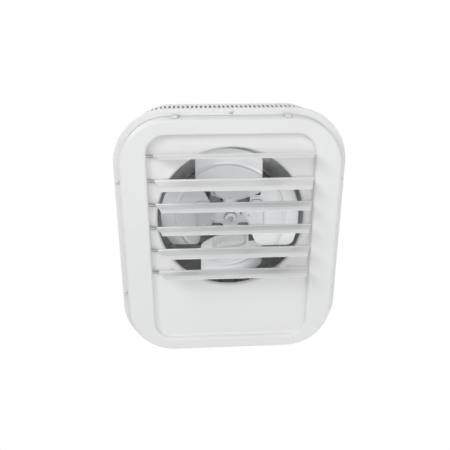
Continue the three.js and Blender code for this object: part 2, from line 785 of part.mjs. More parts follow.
function bell(open, closed) {
  const rim = motorRadius - bellTaper;
  const [low, high] = [Math.min(open, closed), Math.max(open, closed)];
  const lowRadius = closed < open ? rim : motorRadius;
  const highRadius = closed < open ? motorRadius : rim;
  return turned([[boreRadius, low], [lowRadius, low], [highRadius, high],
    [boreRadius, high], [boreRadius, low]], 32).translate([0, fanY, 0]);
}

add('motor_front_bell', bell(motorFront + bellLength, motorFront), motorGrey);
add('motor_stator', ringBody(motorRadius, rotorRadius + gap, statorFront, statorBack, 32)
  .translate([0, fanY, 0]), motorGrey);
add('motor_rear_bell', bell(statorBack + gap, motorBack), motorGrey);

function motorBracket() {
  const y0 = fanY - bracketHalfWidth;
  const y1 = fanY + bracketHalfWidth;
  const top = insideZ - gap;
  const bridge = motorBack + gap;
  const body = union(
    block(-bracketHalfSpan, bracketHalfSpan, y0, y1, bridge, bridge + plateThickness),
    ...sides.flatMap((side) => {
      const legIn = side * (bracketHalfSpan - plateThickness);
      const legOut = side * bracketHalfSpan;
      const foot = side * (bracketHalfSpan + bracketFoot);
      const across = (a, b, z0, z1) => block(Math.min(a, b), Math.max(a, b), y0, y1, z0, z1);
      return [across(legIn, legOut, bridge, top), across(legIn, foot, top - plateThickness, top)];
    }));
  const holes = sides.map((side) =>
    disc(screwShank + gap, top - 2 * plateThickness, top + 1, side * bracketFootX, fanY, pinSides));
  return cut(body, ...holes);
}

add('motor_bracket', motorBracket(), zinc);

// ---------------------------------------------------------------- heating elements

const coilZ = depth(elementDepth);
const elementEnd = bulkheadY + sheet + elementTail; // y where the elements' legs end

function element(radius, legHalf) {
  const bendRoom = 2.5 * elementRadius;
  const open = Math.asin((legHalf + bendRoom) / radius); // half of the ring's open part
  const legFoot = fanY + radius * Math.cos(open) + bendRoom;
  const coilPoints = 16;
  const around = Array.from({ length: coilPoints + 1 }, (_, i) => {
    const angle = open + ((2 * Math.PI - 2 * open) * i) / coilPoints;
    return new THREE.Vector3(radius * Math.sin(angle), fanY + radius * Math.cos(angle), coilZ);
  });
  const leg = (side) => [
    new THREE.Vector3(side * legHalf, elementEnd, coilZ),
    new THREE.Vector3(side * legHalf, (elementEnd + legFoot) / 2, coilZ),
    new THREE.Vector3(side * legHalf, legFoot, coilZ),
  ];
  const path = new THREE.CatmullRomCurve3([...leg(1), ...around, ...leg(-1).reverse()]);
  const section = new THREE.Shape();
  section.absarc(0, 0, elementRadius, 0, 2 * Math.PI, false);
  return solid(new THREE.ExtrudeGeometry(section, {
    steps: 46, curveSegments: 4, extrudePath: path,
  }));
}

add('heating_element_inner', element(innerCoilRadius, innerLegHalf), elementSteel);
add('heating_element_outer', element(outerCoilRadius, outerLegHalf), elementSteel);

// Upright plates on the ceiling plate carry the coils in holes.
function elementSupport(angle) {
  const half = sheet / 2;
  const inner = innerCoilRadius - 2 * elementRadius;
  const outer = outerCoilRadius + 2 * elementRadius;
  const plate = block(inner, outer, -half, half, coilZ - supportDrop, insideZ - gap);
  const hole = (radius) => solid(new THREE.CylinderGeometry(
    elementRadius + 2 * gap, elementRadius + 2 * gap, 4 * sheet, 12).translate(radius, 0, coilZ));
  return cut(plate, hole(innerCoilRadius), hole(outerCoilRadius))
    .rotate([0, 0, angle]).translate([0, fanY, 0]);
}

supportAngles.forEach((angle, i) => add(`element_support_${i + 1}`, elementSupport(angle), zinc));

// ---------------------------------------------------------------- wiring space

function bulkhead() {
  const top = insideZ - gap;
  const wallPlate = block(-bulkheadHalfWidth, bulkheadHalfWidth, bulkheadY, bulkheadY + sheet,
    depth(bulkheadDepth), top);
  const flange = block(-bulkheadHalfWidth, bulkheadHalfWidth, bulkheadY - bulkheadFlange,
    bulkheadY + sheet, top - sheet, top);
  const legHoles = sides.flatMap((side) => [innerLegHalf, outerLegHalf].map((x) =>
    solid(new THREE.CylinderGeometry(elementRadius + 2 * gap, elementRadius + 2 * gap,
      6 * sheet, 12).translate(side * x, bulkheadY, coilZ))));
  const screwHoles = sides.map((side) =>
    disc(screwShank + gap, top - 2 * sheet, top + 1, side * bulkheadScrewX, bulkheadScrewY, pinSides));
  return cut(wallPlate.add(flange), ...legHoles, ...screwHoles);
}

add('wiring_bulkhead', bulkhead(), zinc);

const seatZ = insideZ - gap; // where pieces rest under the back plate

function terminalBlock() {
  const half = (terminalPoles * terminalPitch) / 2;
  const front = seatZ - terminalHeight;
  const body = block(terminalX - half, terminalX + half,
    wiringY - terminalHalfLength, wiringY + terminalHalfLength, front, seatZ);
  const slits = Array.from({ length: terminalPoles - 1 }, (_, i) => {
    const x = terminalX - half + (i + 1) * terminalPitch;
    return block(x - terminalSlit / 2, x + terminalSlit / 2, wiringY - 2 * terminalHalfLength,
      wiringY + 2 * terminalHalfLength, front - 1, front + terminalSlitDepth);
  });
  return cut(body, ...slits);
}

add('terminal_block', terminalBlock(), nylon);
add('fan_relay', block(relayX - relayHalfWidth, relayX + relayHalfWidth,
  wiringY - relayHalfLength, wiringY + relayHalfLength, seatZ - relayHeight, seatZ),
blackPlastic);

// The limit thermostat sits on the partition and faces the warm air.
const limitBody = turned([[0, 0], [limitRadius, 0], [limitRadius, limitRim],
  [limitCapRadius, limitHeight], [0, limitHeight]], 24);
add('limit_thermostat', limitBody.rotate([90, 0, 0])
  .translate([limitX, bulkheadY - gap, coilZ]), steel);

function grommet() {
  const flange = grommetRadius + grommetFlange;
  const bore = grommetRadius - grommetWall;
  const neck = grommetRadius - gap;
  const front = seatZ - grommetWall;
  return turned([
    [bore, front], [flange, front], [flange, seatZ], [neck, seatZ], [neck, -gap], [bore, -gap],
    [bore, front],
  ], 24).translate([0, grommetY, 0]);
}

add('cable_grommet', grommet(), blackPlastic);

// ---------------------------------------------------------------- panel posts

const postEnd = floorZ + sheet + gap;
const panelScrewLength = 9;
for (const [place, side] of [['left', -1], ['right', 1]]) {
  const post = disc(postRadius, postEnd, seatZ, side * postX, postY, postSides);
  const bore = disc(screwShank + gap, postEnd - 1, postEnd + postBore, side * postX, postY,
    pinSides);
  add(`panel_post_${place}`, post.subtract(bore), steel);
  add(`panel_screw_${place}`, screwDown(side * postX, postY, floorZ, floorZ + panelScrewLength),
    zinc);
}

export default heater;
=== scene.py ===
"""Looks of the ceiling mounted fan heater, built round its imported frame.

The helpers take millimetres in the frame's own axes: the unit hangs down from z = 0, and its
face looks towards -Z. Blender's metres are made where a mesh is made.
"""

import json
import math
import random

import bmesh
import bpy
from mathutils import Matrix, Vector
from mathutils.geometry import delaunay_2d_cdt


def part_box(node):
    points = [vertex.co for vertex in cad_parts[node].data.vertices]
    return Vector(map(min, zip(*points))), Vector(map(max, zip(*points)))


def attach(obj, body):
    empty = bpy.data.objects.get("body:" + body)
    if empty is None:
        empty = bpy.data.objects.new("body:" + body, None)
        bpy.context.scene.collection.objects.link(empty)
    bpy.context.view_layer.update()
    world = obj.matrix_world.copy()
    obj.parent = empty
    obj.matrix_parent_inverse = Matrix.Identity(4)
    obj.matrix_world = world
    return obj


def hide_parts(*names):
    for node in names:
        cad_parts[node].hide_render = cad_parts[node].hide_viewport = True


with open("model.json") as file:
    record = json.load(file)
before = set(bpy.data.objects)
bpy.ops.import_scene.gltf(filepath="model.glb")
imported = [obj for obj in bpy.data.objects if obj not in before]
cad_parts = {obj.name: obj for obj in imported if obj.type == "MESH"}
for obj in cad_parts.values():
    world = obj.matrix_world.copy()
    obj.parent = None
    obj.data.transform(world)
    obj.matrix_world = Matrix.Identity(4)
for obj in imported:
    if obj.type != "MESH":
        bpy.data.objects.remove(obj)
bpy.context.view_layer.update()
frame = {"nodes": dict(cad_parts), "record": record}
scene = bpy.context.scene
nodes = frame["nodes"]
MM = 0.001

# -------- camera
# Solved from the drawing's straight edges and from the round fan opening.

EYE = Vector((-0.06185, -0.36705, -0.93268))
LOOK = Vector((0.05839, 0.38058, 0.92290)).normalized()
UP = Vector((0.02281, -0.92474, 0.37990))
PHOTO_FOCAL = 542.0  # pixels, in a picture 450 wide
PHOTO_WIDTH = 450.0

camera_data = bpy.data.cameras.new("camera")
camera_data.sensor_width = 36.0
camera_data.lens = PHOTO_FOCAL / PHOTO_WIDTH * camera_data.sensor_width
camera_data.clip_start, camera_data.clip_end = 0.02, 60.0
camera = bpy.data.objects.new("camera", camera_data)
right = LOOK.cross(UP).normalized()
up = right.cross(LOOK).normalized()
turn = Matrix((right, up, -LOOK)).transposed()
camera.matrix_world = Matrix.Translation(EYE) @ turn.to_4x4()
scene.collection.objects.link(camera)
scene.camera = camera

# -------- sizes, as in the part

GAP = 0.3  # clearance between pieces
SHEET = 1.2
PLATE = 1.6
WALL = GAP + SHEET  # from the panel's side to the casing's outside
FACE_Z = -122.0
RING_Z = FACE_Z + 26.0  # front of the trim ring
FLOOR_Z = FACE_Z + 10.0  # floor of the recess
HALF_W, HALF_L, CORNER = 175.0, 205.0, 78.0
EDGE_R = 5.0
SKIRT = 8.0  # of the panel's side, behind the front of the trim
TRIM = 11.3  # width of the trim ring
SEAM_Y = 106.4  # where the two lengths of trim and casing meet
RECESS = 135.8  # half its width
RECESS_FAR, RECESS_NEAR, RECESS_R = -183.7, 186.2, 36.0
LIP_R, ROOT_R = 4.0, 2.6  # roundings at the recess's edge and floor
ROOT = LIP_R + ROOT_R
FAN_Y = -37.5
ORIFICE, FLARE, COLLAR = 120.0, 4.5, 8.0
LOUVER_FIRST, LOUVER_PITCH = -147.3, 39.9
LOUVER_Z = FACE_Z + 5.2
LOUVER_TILT = [-13.5, 2.6, -5.9, -8.9, -7.2, -11.7]  # degrees, far louver first
SPIDER_Z = FACE_Z + 28.0
PITCH = 14.0  # degrees, of the fan's blades
COIL_Z = FACE_Z + 74.0
CORNER_STEPS = 24
ROUND = 144  # sides of a full circle
MERGE = 2e-6  # metres; points that lie nearer than this become one

# -------- materials

NOISE_SPAN = (0.3, 0.7)  # where most of a noise texture's values lie


class Nodes:
    """A short way to write a node tree: each call adds a node and links its inputs."""

    def __init__(self, name):
        self.material = bpy.data.materials.new(name)
        self.material.use_nodes = True
        self.tree = self.material.node_tree
        self.shader = self.tree.nodes["Principled BSDF"]
        self.place = self.add("ShaderNodeTexCoord").outputs["Object"]

    def add(self, kind, **inputs):
        node = self.tree.nodes.new(kind)
        for key, value in inputs.items():
            self.join(node.inputs[key.replace("_", " ")], value)
        return node

    def join(self, socket, value):
        if isinstance(value, bpy.types.NodeSocket):
            self.tree.links.new(value, socket)
        else:
            socket.default_value = value

    def noise(self, scale, detail, stretch=None):
        where = self.place
        if stretch:
            where = self.add("ShaderNodeMapping", Vector=where, Scale=stretch).outputs["Vector"]
        node = self.add("ShaderNodeTexNoise", Vector=where, Scale=scale, Detail=detail)
        return node.outputs["Fac"]

    def cells(self, scale):
        """A colour of its own for each crystal."""
        node = self.add("ShaderNodeTexVoronoi", Vector=self.place, Scale=scale)
        return node.outputs["Color"]

    def ramp(self, value, low, high):
        """Colours between low and high, over the noise's usual span."""
        node = self.add("ShaderNodeValToRGB", Fac=value)
        for element, place, colour in zip(node.color_ramp.elements, NOISE_SPAN, (low, high)):
            element.position = place
            element.color = (*colour, 1.0)
        return node.outputs["Color"]

    def grey(self, value, low, high):
        """Numbers between low and high, over the noise's usual span."""
        node = self.add("ShaderNodeMapRange", Value=value, From_Min=NOISE_SPAN[0],
                        From_Max=NOISE_SPAN[1], To_Min=low, To_Max=high)
        return node.outputs["Result"]

    def bump(self, height, strength, distance):
        node = self.add("ShaderNodeBump", Height=height, Strength=strength, Distance=distance)
        self.join(self.shader.inputs["Normal"], node.outputs["Normal"])

    def set(self, **inputs):
        for key, value in inputs.items():
            self.join(self.shader.inputs[key.replace("_", " ")], value)
        return self.material


def shade(colour, factor):
    """The colour made darker or lighter."""
    return tuple(min(1.0, c * factor) for c in colour)


def powder_coat(name, colour, roughness):
    """Baked powder coat: fine orange peel, faint clouding, and patches of duller gloss."""
    n = Nodes(name)
    clouds = n.noise(9.0, 4.0)
    peel = n.noise(900.0, 2.0)
    n.bump(peel, 0.10, 0.00025)
    return n.set(Base_Color=n.ramp(clouds, shade(colour, 0.975), colour),
                 Roughness=n.grey(n.noise(60.0, 5.0), roughness - 0.05, roughness + 0.08),
                 Metallic=0.0, Coat_Weight=0.12, Coat_Roughness=0.25)


def galvanised(name, colour):
    """Hot-dipped sheet: crystals of slightly different tone, and rolling lines."""
    n = Nodes(name)
    crystal = n.add("ShaderNodeRGBToBW", Color=n.cells(120.0)).outputs["Val"]
    n.bump(n.noise(500.0, 3.0, (1.0, 0.08, 1.0)), 0.12, 0.0002)
    return n.set(Base_Color=n.ramp(crystal, shade(colour, 0.95), shade(colour, 1.03)),
                 Roughness=n.grey(crystal, 0.34, 0.44), Metallic=0.85)


def zinc_plated(name, colour):
    """Bright zinc on pressed or turned steel: an even tone with faint clouds."""
    n = Nodes(name)
    n.bump(n.noise(900.0, 3.0), 0.10, 0.0001)
    return n.set(Base_Color=n.ramp(n.noise(55.0, 4.0), shade(colour, 0.96), colour),
                 Roughness=n.grey(n.noise(140.0, 4.0), 0.42, 0.54), Metallic=0.75)


def brushed(name, colour, roughness, stretch, metallic=1.0):
    """Drawn or rolled metal with fine lines along one direction."""
    n = Nodes(name)
    lines = n.noise(700.0, 4.0, stretch)
    n.bump(lines, 0.16, 0.00012)
    return n.set(Base_Color=n.ramp(n.noise(22.0, 5.0), shade(colour, 0.93), colour),
                 Roughness=n.grey(lines, roughness - 0.06, roughness + 0.10),
                 Metallic=metallic)


def heated_steel(name):
    """Stainless tube that has been hot: straw and grey-blue tints in slow patches."""
    n = Nodes(name)
    n.bump(n.noise(800.0, 3.0), 0.12, 0.0001)
    return n.set(Base_Color=n.ramp(n.noise(26.0, 3.0), (0.33, 0.30, 0.28), (0.50, 0.48, 0.46)),
                 Roughness=n.grey(n.noise(90.0, 4.0), 0.38, 0.55), Metallic=0.9)


def plastic(name, colour, roughness):
    """Moulded plastic with a fine spark-eroded grain."""
    n = Nodes(name)
    n.bump(n.noise(1500.0, 3.0), 0.18, 0.0001)
    return n.set(Base_Color=n.ramp(n.noise(40.0, 4.0), shade(colour, 0.92), shade(colour, 1.04)),
                 Roughness=n.grey(n.noise(300.0, 3.0), roughness - 0.06, roughness + 0.06),
                 Metallic=0.0)


def copper_wire(name):
    """Enamelled winding wire: fine turns round the coil's cross-section, with painted shade: the
    colour is darker where the turns' bump lies low, between the turns.
    """
    n = Nodes(name)
    turns = n.noise(240.0, 2.0, (1.0, 1.0, 9.0))
    n.bump(turns, 0.8, 0.0006)
    # The colour follows the bump's height: painted shade in the low grooves between the turns.
    return n.set(Base_Color=n.ramp(turns, (0.30, 0.12, 0.05), (0.62, 0.30, 0.14)),
                 Roughness=0.38, Metallic=0.7)


MATERIALS = {name: finish(name, *values) for name, finish, *values in (
    ("casing_white", powder_coat, (0.86, 0.86, 0.85), 0.42),
    ("louver_white", powder_coat, (0.88, 0.88, 0.87), 0.38),
    ("zinc", zinc_plated, (0.68, 0.69, 0.70)),
    ("galvanised", galvanised, (0.70, 0.71, 0.72)),
    ("steel", brushed, (0.56, 0.57, 0.58), 0.34, (1.0, 1.0, 0.1)),
    ("aluminium", brushed, (0.78, 0.79, 0.80), 0.48, (0.06, 1.0, 1.0), 0.7),
    ("motor_grey", powder_coat, (0.42, 0.43, 0.44), 0.5),
    ("element_steel", heated_steel),
    ("nylon", plastic, (0.78, 0.76, 0.70), 0.5),
    ("black_plastic", plastic, (0.045, 0.045, 0.048), 0.5),
    ("copper", copper_wire))}

NODE_SLOT = {row["node"]: row["material_slot"] for row in frame["record"]["subparts"]}
NODE_BODY = {name: body for body, names in frame["record"]["behaviour"]["bodies"].items()
             for name in names}
# The solids wear the same looks, for those that no skin replaces.
for node_name, node_object in nodes.items():
    node_object.data.materials.clear()
    node_object.data.materials.append(MATERIALS[NODE_SLOT[node_name]])

# -------- mesh helpers


class Build:
    """Collects vertices and faces, in millimetres."""

    def __init__(self):
        self.verts, self.faces = [], []

    def ring(self, points):
        start = len(self.verts)
        self.verts.extend(tuple(p) for p in points)
        return list(range(start, len(self.verts)))

    def strip(self, a, b, closed=True):
        count = len(a)
        for i in range(count if closed else count - 1):
            j = (i + 1) % count
            self.faces.append((a[i], a[j], b[j], b[i]))

    def rings(self, rings, closed_ring=True, closed_loop=False):
        made = [self.ring(r) for r in rings]
        for a, b in zip(made, made[1:]):
            self.strip(a, b, closed_ring)
        if closed_loop:
            self.strip(made[-1], made[0], closed_ring)
        return made

    def quad(self, *points):
        self.faces.append(tuple(self.ring(points)))

    def cap(self, ring):
        self.faces.append(tuple(ring))


FACING_BONUS = 0.002  # metres; a face that lies across the direction counts as this much nearer


def mesh_of(name, build, facing=None, thickness=0.0, fill=(), cuts=(), weld=True):
    """A mesh from a Build. fill lists groups of rings with one flat face between them; facing
    is (point, direction) of a face that must look that way, or gives each face's direction
    from its centre; thickness goes behind it."""
    mesh = bpy.data.meshes.new(name)
    mesh.from_pydata([Vector(v) * MM for v in build.verts], [], build.faces)
    bm = bmesh.new()
    bm.from_mesh(mesh)
    bm.verts.ensure_lookup_table()
    for group in fill:
        edges = []
        for ring in group:
            for i, j in zip(ring, ring[1:] + ring[:1]):
                pair = (bm.verts[i], bm.verts[j])
                edges.append(bm.edges.get(pair) or bm.edges.new(pair))
        bmesh.ops.triangle_fill(bm, use_beauty=True, edges=edges)
    if weld:
        bmesh.ops.remove_doubles(bm, verts=bm.verts[:], dist=MERGE)
    bmesh.ops.recalc_face_normals(bm, faces=bm.faces[:])
    if callable(facing):
        wrong = [f for f in bm.faces if f.normal.dot(facing(f.calc_center_median())) < 0]
        bmesh.ops.reverse_faces(bm, faces=wrong)
    elif facing:
        point, direction = Vector(facing[0]) * MM, Vector(facing[1])
        near = min(bm.faces, key=lambda f: (f.calc_center_median() - point).length
                   - FACING_BONUS * abs(f.normal.dot(direction)))
        if near.normal.dot(direction) < 0:
            bmesh.ops.reverse_faces(bm, faces=bm.faces[:])
    if thickness:
        bm.normal_update()
        bm.to_mesh(mesh)
        bm.free()
        mesh = modified(mesh, lambda m: thicken(m, thickness))
        bm = bmesh.new()
        bm.from_mesh(mesh)
    for point, normal in cuts:
        bmesh.ops.bisect_plane(bm, geom=bm.verts[:] + bm.edges[:] + bm.faces[:],
                               plane_co=Vector(point) * MM, plane_no=Vector(normal),
                               clear_outer=True)
        rim = [e for e in bm.edges if e.is_boundary]
        bmesh.ops.holes_fill(bm, edges=rim, sides=0)
    bm.to_mesh(mesh)
    bm.free()
    return mesh


def modified(mesh, add_modifiers):
    """The mesh with modifiers applied to it."""
    holder = bpy.data.objects.new("holder", mesh)
    scene.collection.objects.link(holder)
    add_modifiers(holder.modifiers)
    graph = bpy.context.evaluated_depsgraph_get()
    result = bpy.data.meshes.new_from_object(holder.evaluated_get(graph))
    bpy.data.objects.remove(holder)
    return result


def thicken(modifiers, thickness):
    """Sheet behind the surface."""
    m = modifiers.new("sheet", "SOLIDIFY")
    m.thickness = thickness * MM
    m.offset = -1.0
    m.use_even_offset = True
    m.use_quality_normals = True


def soften(modifiers, width, angle=35.0):
    """A small rounding on the edges that turn by more than the angle."""
    m = modifiers.new("edges", "BEVEL")
    m.width = width * MM
    m.segments = 2
    m.limit_method = "ANGLE"
    m.angle_limit = math.radians(angle)
    m.use_clamp_overlap = True


def piece(name, mesh, body, finish, replaces=(), bevel=0.0, sharp=35.0, material=None):
    """Shows a mesh as a piece of a body. finish is its slot, or None with a material of its
    own; replaces lists the nodes that it stands for."""
    if bevel:
        mesh = modified(mesh, lambda m: soften(m, bevel))
    mesh.name = name
    mesh.polygons.foreach_set("use_smooth", [True] * len(mesh.polygons))
    mesh.set_sharp_from_angle(angle=math.radians(sharp))
    mesh.materials.clear()
    mesh.materials.append(MATERIALS[material or finish])
    obj = bpy.data.objects.new(name, mesh)
    scene.collection.objects.link(obj)
    weights = obj.modifiers.new("normals", "WEIGHTED_NORMAL")
    weights.keep_sharp = True
    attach(obj, body)
    if replaces:
        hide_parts(*replaces)


def placed(mesh, matrix):
    """A copy of the mesh, put in its place."""
    mesh = mesh.copy()
    mesh.transform(matrix)
    return mesh


def outline(inset, z, half=HALF_W, far=-HALF_L, near=HALF_L, radius=CORNER, steps=CORNER_STEPS):
    """A ring of points on a rounded rectangle that is drawn in by inset."""
    half, far, near, radius = half - inset, far + inset, near - inset, radius - inset
    corners = ((half - radius, near - radius, 0), (-half + radius, near - radius, 90),
               (-half + radius, far + radius, 180), (half - radius, far + radius, 270))
    ring = []
    for cx, cy, start in corners:
        for i in range(steps + 1):
            a = math.radians(start + 90.0 * i / steps)
            ring.append((cx + radius * math.cos(a), cy + radius * math.sin(a), z))
    return ring


def circle(radius, z, x=0.0, y=0.0, count=ROUND):
    """A ring of points round (x, y)."""
    return [(x + radius * math.cos(2 * math.pi * i / count),
             y + radius * math.sin(2 * math.pi * i / count), z) for i in range(count)]


def arc(inset, z, radius, start, end, steps):
    """Points of a section's arc, as (inset, z)."""
    made = []
    for i in range(steps + 1):
        a = math.radians(start + (end - start) * i / steps)
        made.append((inset + radius * math.cos(a), z + radius * math.sin(a)))
    return made


def lathe(name, profile, count):
    """A ring-shaped body round the fan's axis, from a closed profile of (radius, z) points."""
    build = Build()
    build.rings([circle(r, z, 0, FAN_Y, count) for r, z in profile], closed_loop=True)
    return mesh_of(name, build)


def tube(name, points, radius, sides, weld=True):
    """A round tube along points; radius may be one number or one for each point."""
    radii = radius if isinstance(radius, list) else [radius] * len(points)
    points = [Vector(p) for p in points]
    normal = None
    rings = []
    for i, p in enumerate(points):
        ahead = points[min(i + 1, len(points) - 1)] - points[max(i - 1, 0)]
        ahead.normalize()
        if normal is None:
            normal = ahead.orthogonal().normalized()
        normal = (normal - ahead * normal.dot(ahead)).normalized()
        other = ahead.cross(normal)
        rings.append([p + (normal * math.cos(a) + other * math.sin(a)) * radii[i]
                      for a in (2 * math.pi * k / sides for k in range(sides))])
    build = Build()
    made = build.rings(rings)
    build.cap(made[0])
    build.cap(made[-1])
    return mesh_of(name, build, weld=weld)


def joined(name, meshes):
    """One mesh from several."""
    bm = bmesh.new()
    for m in meshes:
        bm.from_mesh(m)
    mesh = bpy.data.meshes.new(name)
    bm.to_mesh(mesh)
    bm.free()
    return mesh


# -------- front panel


def front_panel():
    """A tray with a rounded edge, the recess pressed into it, and the flared fan opening."""
    build = Build()
    rings = [outline(0, RING_Z + SKIRT), outline(0, RING_Z), outline(0, FACE_Z + 2 * EDGE_R)]
    rings += [outline(i, z) for i, z in arc(EDGE_R, FACE_Z + EDGE_R, EDGE_R, 180, 270, 10)]
    recess = (RECESS, RECESS_FAR, RECESS_NEAR, RECESS_R)
    section = arc(0, FACE_Z + LIP_R, LIP_R, 270, 360, 8)
    section += arc(ROOT, FLOOR_Z - ROOT_R, ROOT_R, 180, 90, 6)
    rings += [outline(i, z, *recess) for i, z in section]
    made = build.rings(rings)
    mouth = ORIFICE + FLARE
    collar = arc(mouth, FLOOR_Z + FLARE, FLARE, 270, 180, 8)
    collar += [(ORIFICE, FLOOR_Z + COLLAR)]
    round_rings = build.rings([circle(r, z, 0, FAN_Y) for r, z in collar])
    on_face = (0, 195, FACE_Z)
    return mesh_of("front_panel", build, (on_face, (0, 0, -1)), SHEET,
                   fill=[(made[-1], round_rings[0])])


piece("front_panel_skin", front_panel(), "housing", "casing_white", ["front_panel"])

# -------- trim ring, in two halves

TRIM_R, TRIM_SHEET, TRIM_DEPTH = 1.6, 0.9, 4.0
TRIM_CORNER_STEPS = 32
SEAM_OPEN = 0.9  # wider than in the part, so that it shows as a line
TONGUE_ROWS = (-6, 6, 7)  # along the side, from the seam
TONGUE_SHEET = 0.3


def trim_half(name, keep):
    """An angle ring, cut at the seam: keep is 1 for the far half and -1 for the near one."""
    section = arc(TRIM_R, RING_Z + TRIM_R, TRIM_R, 270, 180, 6)
    section += [(0, RING_Z + TRIM_DEPTH), (TRIM_SHEET, RING_Z + TRIM_DEPTH)]
    section += arc(TRIM_R, RING_Z + TRIM_R, TRIM_R - TRIM_SHEET, 180, 270, 4)
    section += [(TRIM - GAP, RING_Z + TRIM_SHEET), (TRIM - GAP, RING_Z)]
    sizes = (HALF_W + TRIM, -HALF_L - TRIM, HALF_L + TRIM, CORNER + TRIM, TRIM_CORNER_STEPS)
    build = Build()
    build.rings([outline(i, z, *sizes) for i, z in section], closed_loop=True)
    return mesh_of(name, build, cuts=[((0, SEAM_Y - SEAM_OPEN / 2 * keep, 0), (0, keep, 0))])


for name, keep in (("trim_upper", 1), ("trim_lower", -1)):
    piece(name + "_skin", trim_half(name, keep), "housing", "casing_white", [name])

# A tongue of the far half passes behind the near half, under the open seam.
for side, name in ((-1, "trim_tongue_left"), (1, "trim_tongue_right")):
    x0, x1 = side * (HALF_W + GAP + 0.4), side * (HALF_W + TRIM - 2.0)
    tongue = Build()
    tongue.rings([[(x0, SEAM_Y + y, RING_Z + 1.0), (x1, SEAM_Y + y, RING_Z + 1.0)]
                  for y in TONGUE_ROWS], closed_ring=False)
    mesh = mesh_of(name, tongue, ((x0, SEAM_Y, RING_Z), (0, 0, -1)), TONGUE_SHEET)
    piece(name, mesh, "housing", "casing_white")

# -------- perforated casing

SLOT_W, SLOT_L, SLOT_STEP = 3.5, 29.0, 7.4
SLOT_ROWS = (-14.0, -49.0)  # upper end of each row of slots
SLOT_MARGIN = 2.2  # wall above and below a slot within its cell
SEAM_MARGIN = 6.0  # plain wall beside a seam
WALL_TOP, WALL_END = -0.4, RING_Z + 1.5


def wall_point(s, z):
    """A point on the casing's outside, s along it from the middle of the far side."""
    half, length, radius = HALF_W + WALL, HALF_L + WALL, CORNER + WALL
    rx, ry, quarter = half - radius, length - radius, math.pi / 2 * radius
    sign = 1 if s > 0 else -1
    s = abs(s)
    if s <= rx:
        return (sign * s, -length, z)
    s -= rx
    if s <= quarter:
        a = s / radius
        return (sign * (rx + radius * math.sin(a)), -ry - radius * math.cos(a), z)
    s -= quarter
    if s <= 2 * ry:
        return (sign * half, -ry + s, z)
    s -= 2 * ry
    if s <= quarter:
        a = s / radius
        return (sign * (rx + radius * math.cos(a)), ry + radius * math.sin(a), z)
    return (sign * (rx - s + quarter), length, z)


def slot_cell(build, s, half, z_top):
    """One stretch of wall with a slot in it: two round ends and the wall beside the slot."""
    r = SLOT_W / 2
    high, low = z_top - r, z_top - SLOT_L + r
    for sign, middle in ((1, high), (-1, low)):
        inner, outer = [], []
        for k in range(9):  # across and up follow the cell's edge, a goes round the slot's end
            a, across, up = math.pi * k / 8, max(-1, min(1, 2 - k / 2)), min(1, k / 2, 4 - k / 2)
            inner.append(wall_point(s + r * math.cos(a), middle + sign * r * math.sin(a)))
            outer.append(wall_point(s + half * across, middle + sign * (r + SLOT_MARGIN) * up))
        build.strip(build.ring(inner), build.ring(outer), closed=False)
    for sign in (1, -1):
        build.quad(wall_point(s + sign * r, high), wall_point(s + sign * half, high),
                   wall_point(s + sign * half, low), wall_point(s + sign * r, low))


def wall(start, end):
    """The casing from start to end along its outside, with two rows of staggered slots."""
    count = int((end - start - 2 * SEAM_MARGIN) / SLOT_STEP)
    step = (end - start - 2 * SEAM_MARGIN) / count
    along = [start] + [start + SEAM_MARGIN + step * k / 4 for k in range(4 * count + 1)] + [end]
    build = Build()

    def plain(first, last, heights):
        build.rings([[wall_point(s, z) for s in along[first:last]] for z in heights],
                    closed_ring=False)

    edges = [WALL_TOP]
    for top in SLOT_ROWS:
        edges += [top + SLOT_MARGIN, top - SLOT_L - SLOT_MARGIN]
    edges.append(WALL_END)
    for z0, z1 in zip(edges[0::2], edges[1::2]):
        plain(0, len(along), (z0, z1))
    reach = SLOT_W / 2 + SLOT_MARGIN
    for row, top in enumerate(SLOT_ROWS):
        high, low = top - SLOT_W / 2, top - SLOT_L + SLOT_W / 2
        heights = (high + reach, high + reach / 2, high, low, low - reach / 2, low - reach)
        plain(0, 2 + 2 * row, heights)
        plain(len(along) - 2 - 2 * row, len(along), heights)
        for i in range(count - row):
            slot_cell(build, start + SEAM_MARGIN + step * (i + 0.5 + row / 2), step / 2, top)
    return build


def casing_half(name, keep):
    """Half of the perforated wall with the flange that the trim lies on; keep as in the trim."""
    radius = CORNER + WALL
    seam = HALF_W + WALL - radius + math.pi / 2 * radius
    seam += SEAM_Y + HALF_L + WALL - radius
    whole = 2 * (HALF_W + WALL + HALF_L + WALL - 2 * radius) + math.pi * radius  # to the near end
    if keep > 0:
        stretches = [(-seam + GAP / 2, seam - GAP / 2)]
    else:
        stretches = [(seam + GAP / 2, whole), (-whole, -seam - GAP / 2)]
    both = Build()
    for start, end in stretches:
        part = wall(start, end)
        shift = len(both.verts)
        both.verts += part.verts
        both.faces += [tuple(i + shift for i in face) for face in part.faces]
    sheet = mesh_of(name, both, lambda centre: Vector((centre.x, centre.y, 0)), SHEET)
    flange = Build()
    sizes = (HALF_W + WALL, -HALF_L - WALL, HALF_L + WALL, CORNER + WALL)
    low, high, out = WALL_END, WALL_END + SHEET, -(TRIM - WALL - SHEET - GAP)
    flange.rings([outline(i, z, *sizes) for i, z in
                  ((out, low), (out, high), (0, high), (0, low))], closed_loop=True)
    cut = ((0, SEAM_Y - GAP / 2 * keep, 0), (0, keep, 0))
    return joined(name, [sheet, mesh_of(name + "_flange", flange, cuts=[cut])])


for name, keep in (("casing_upper", 1), ("casing_lower", -1)):
    piece(name + "_skin", casing_half(name, keep), "housing", "casing_white", [name])

# -------- ceiling plate

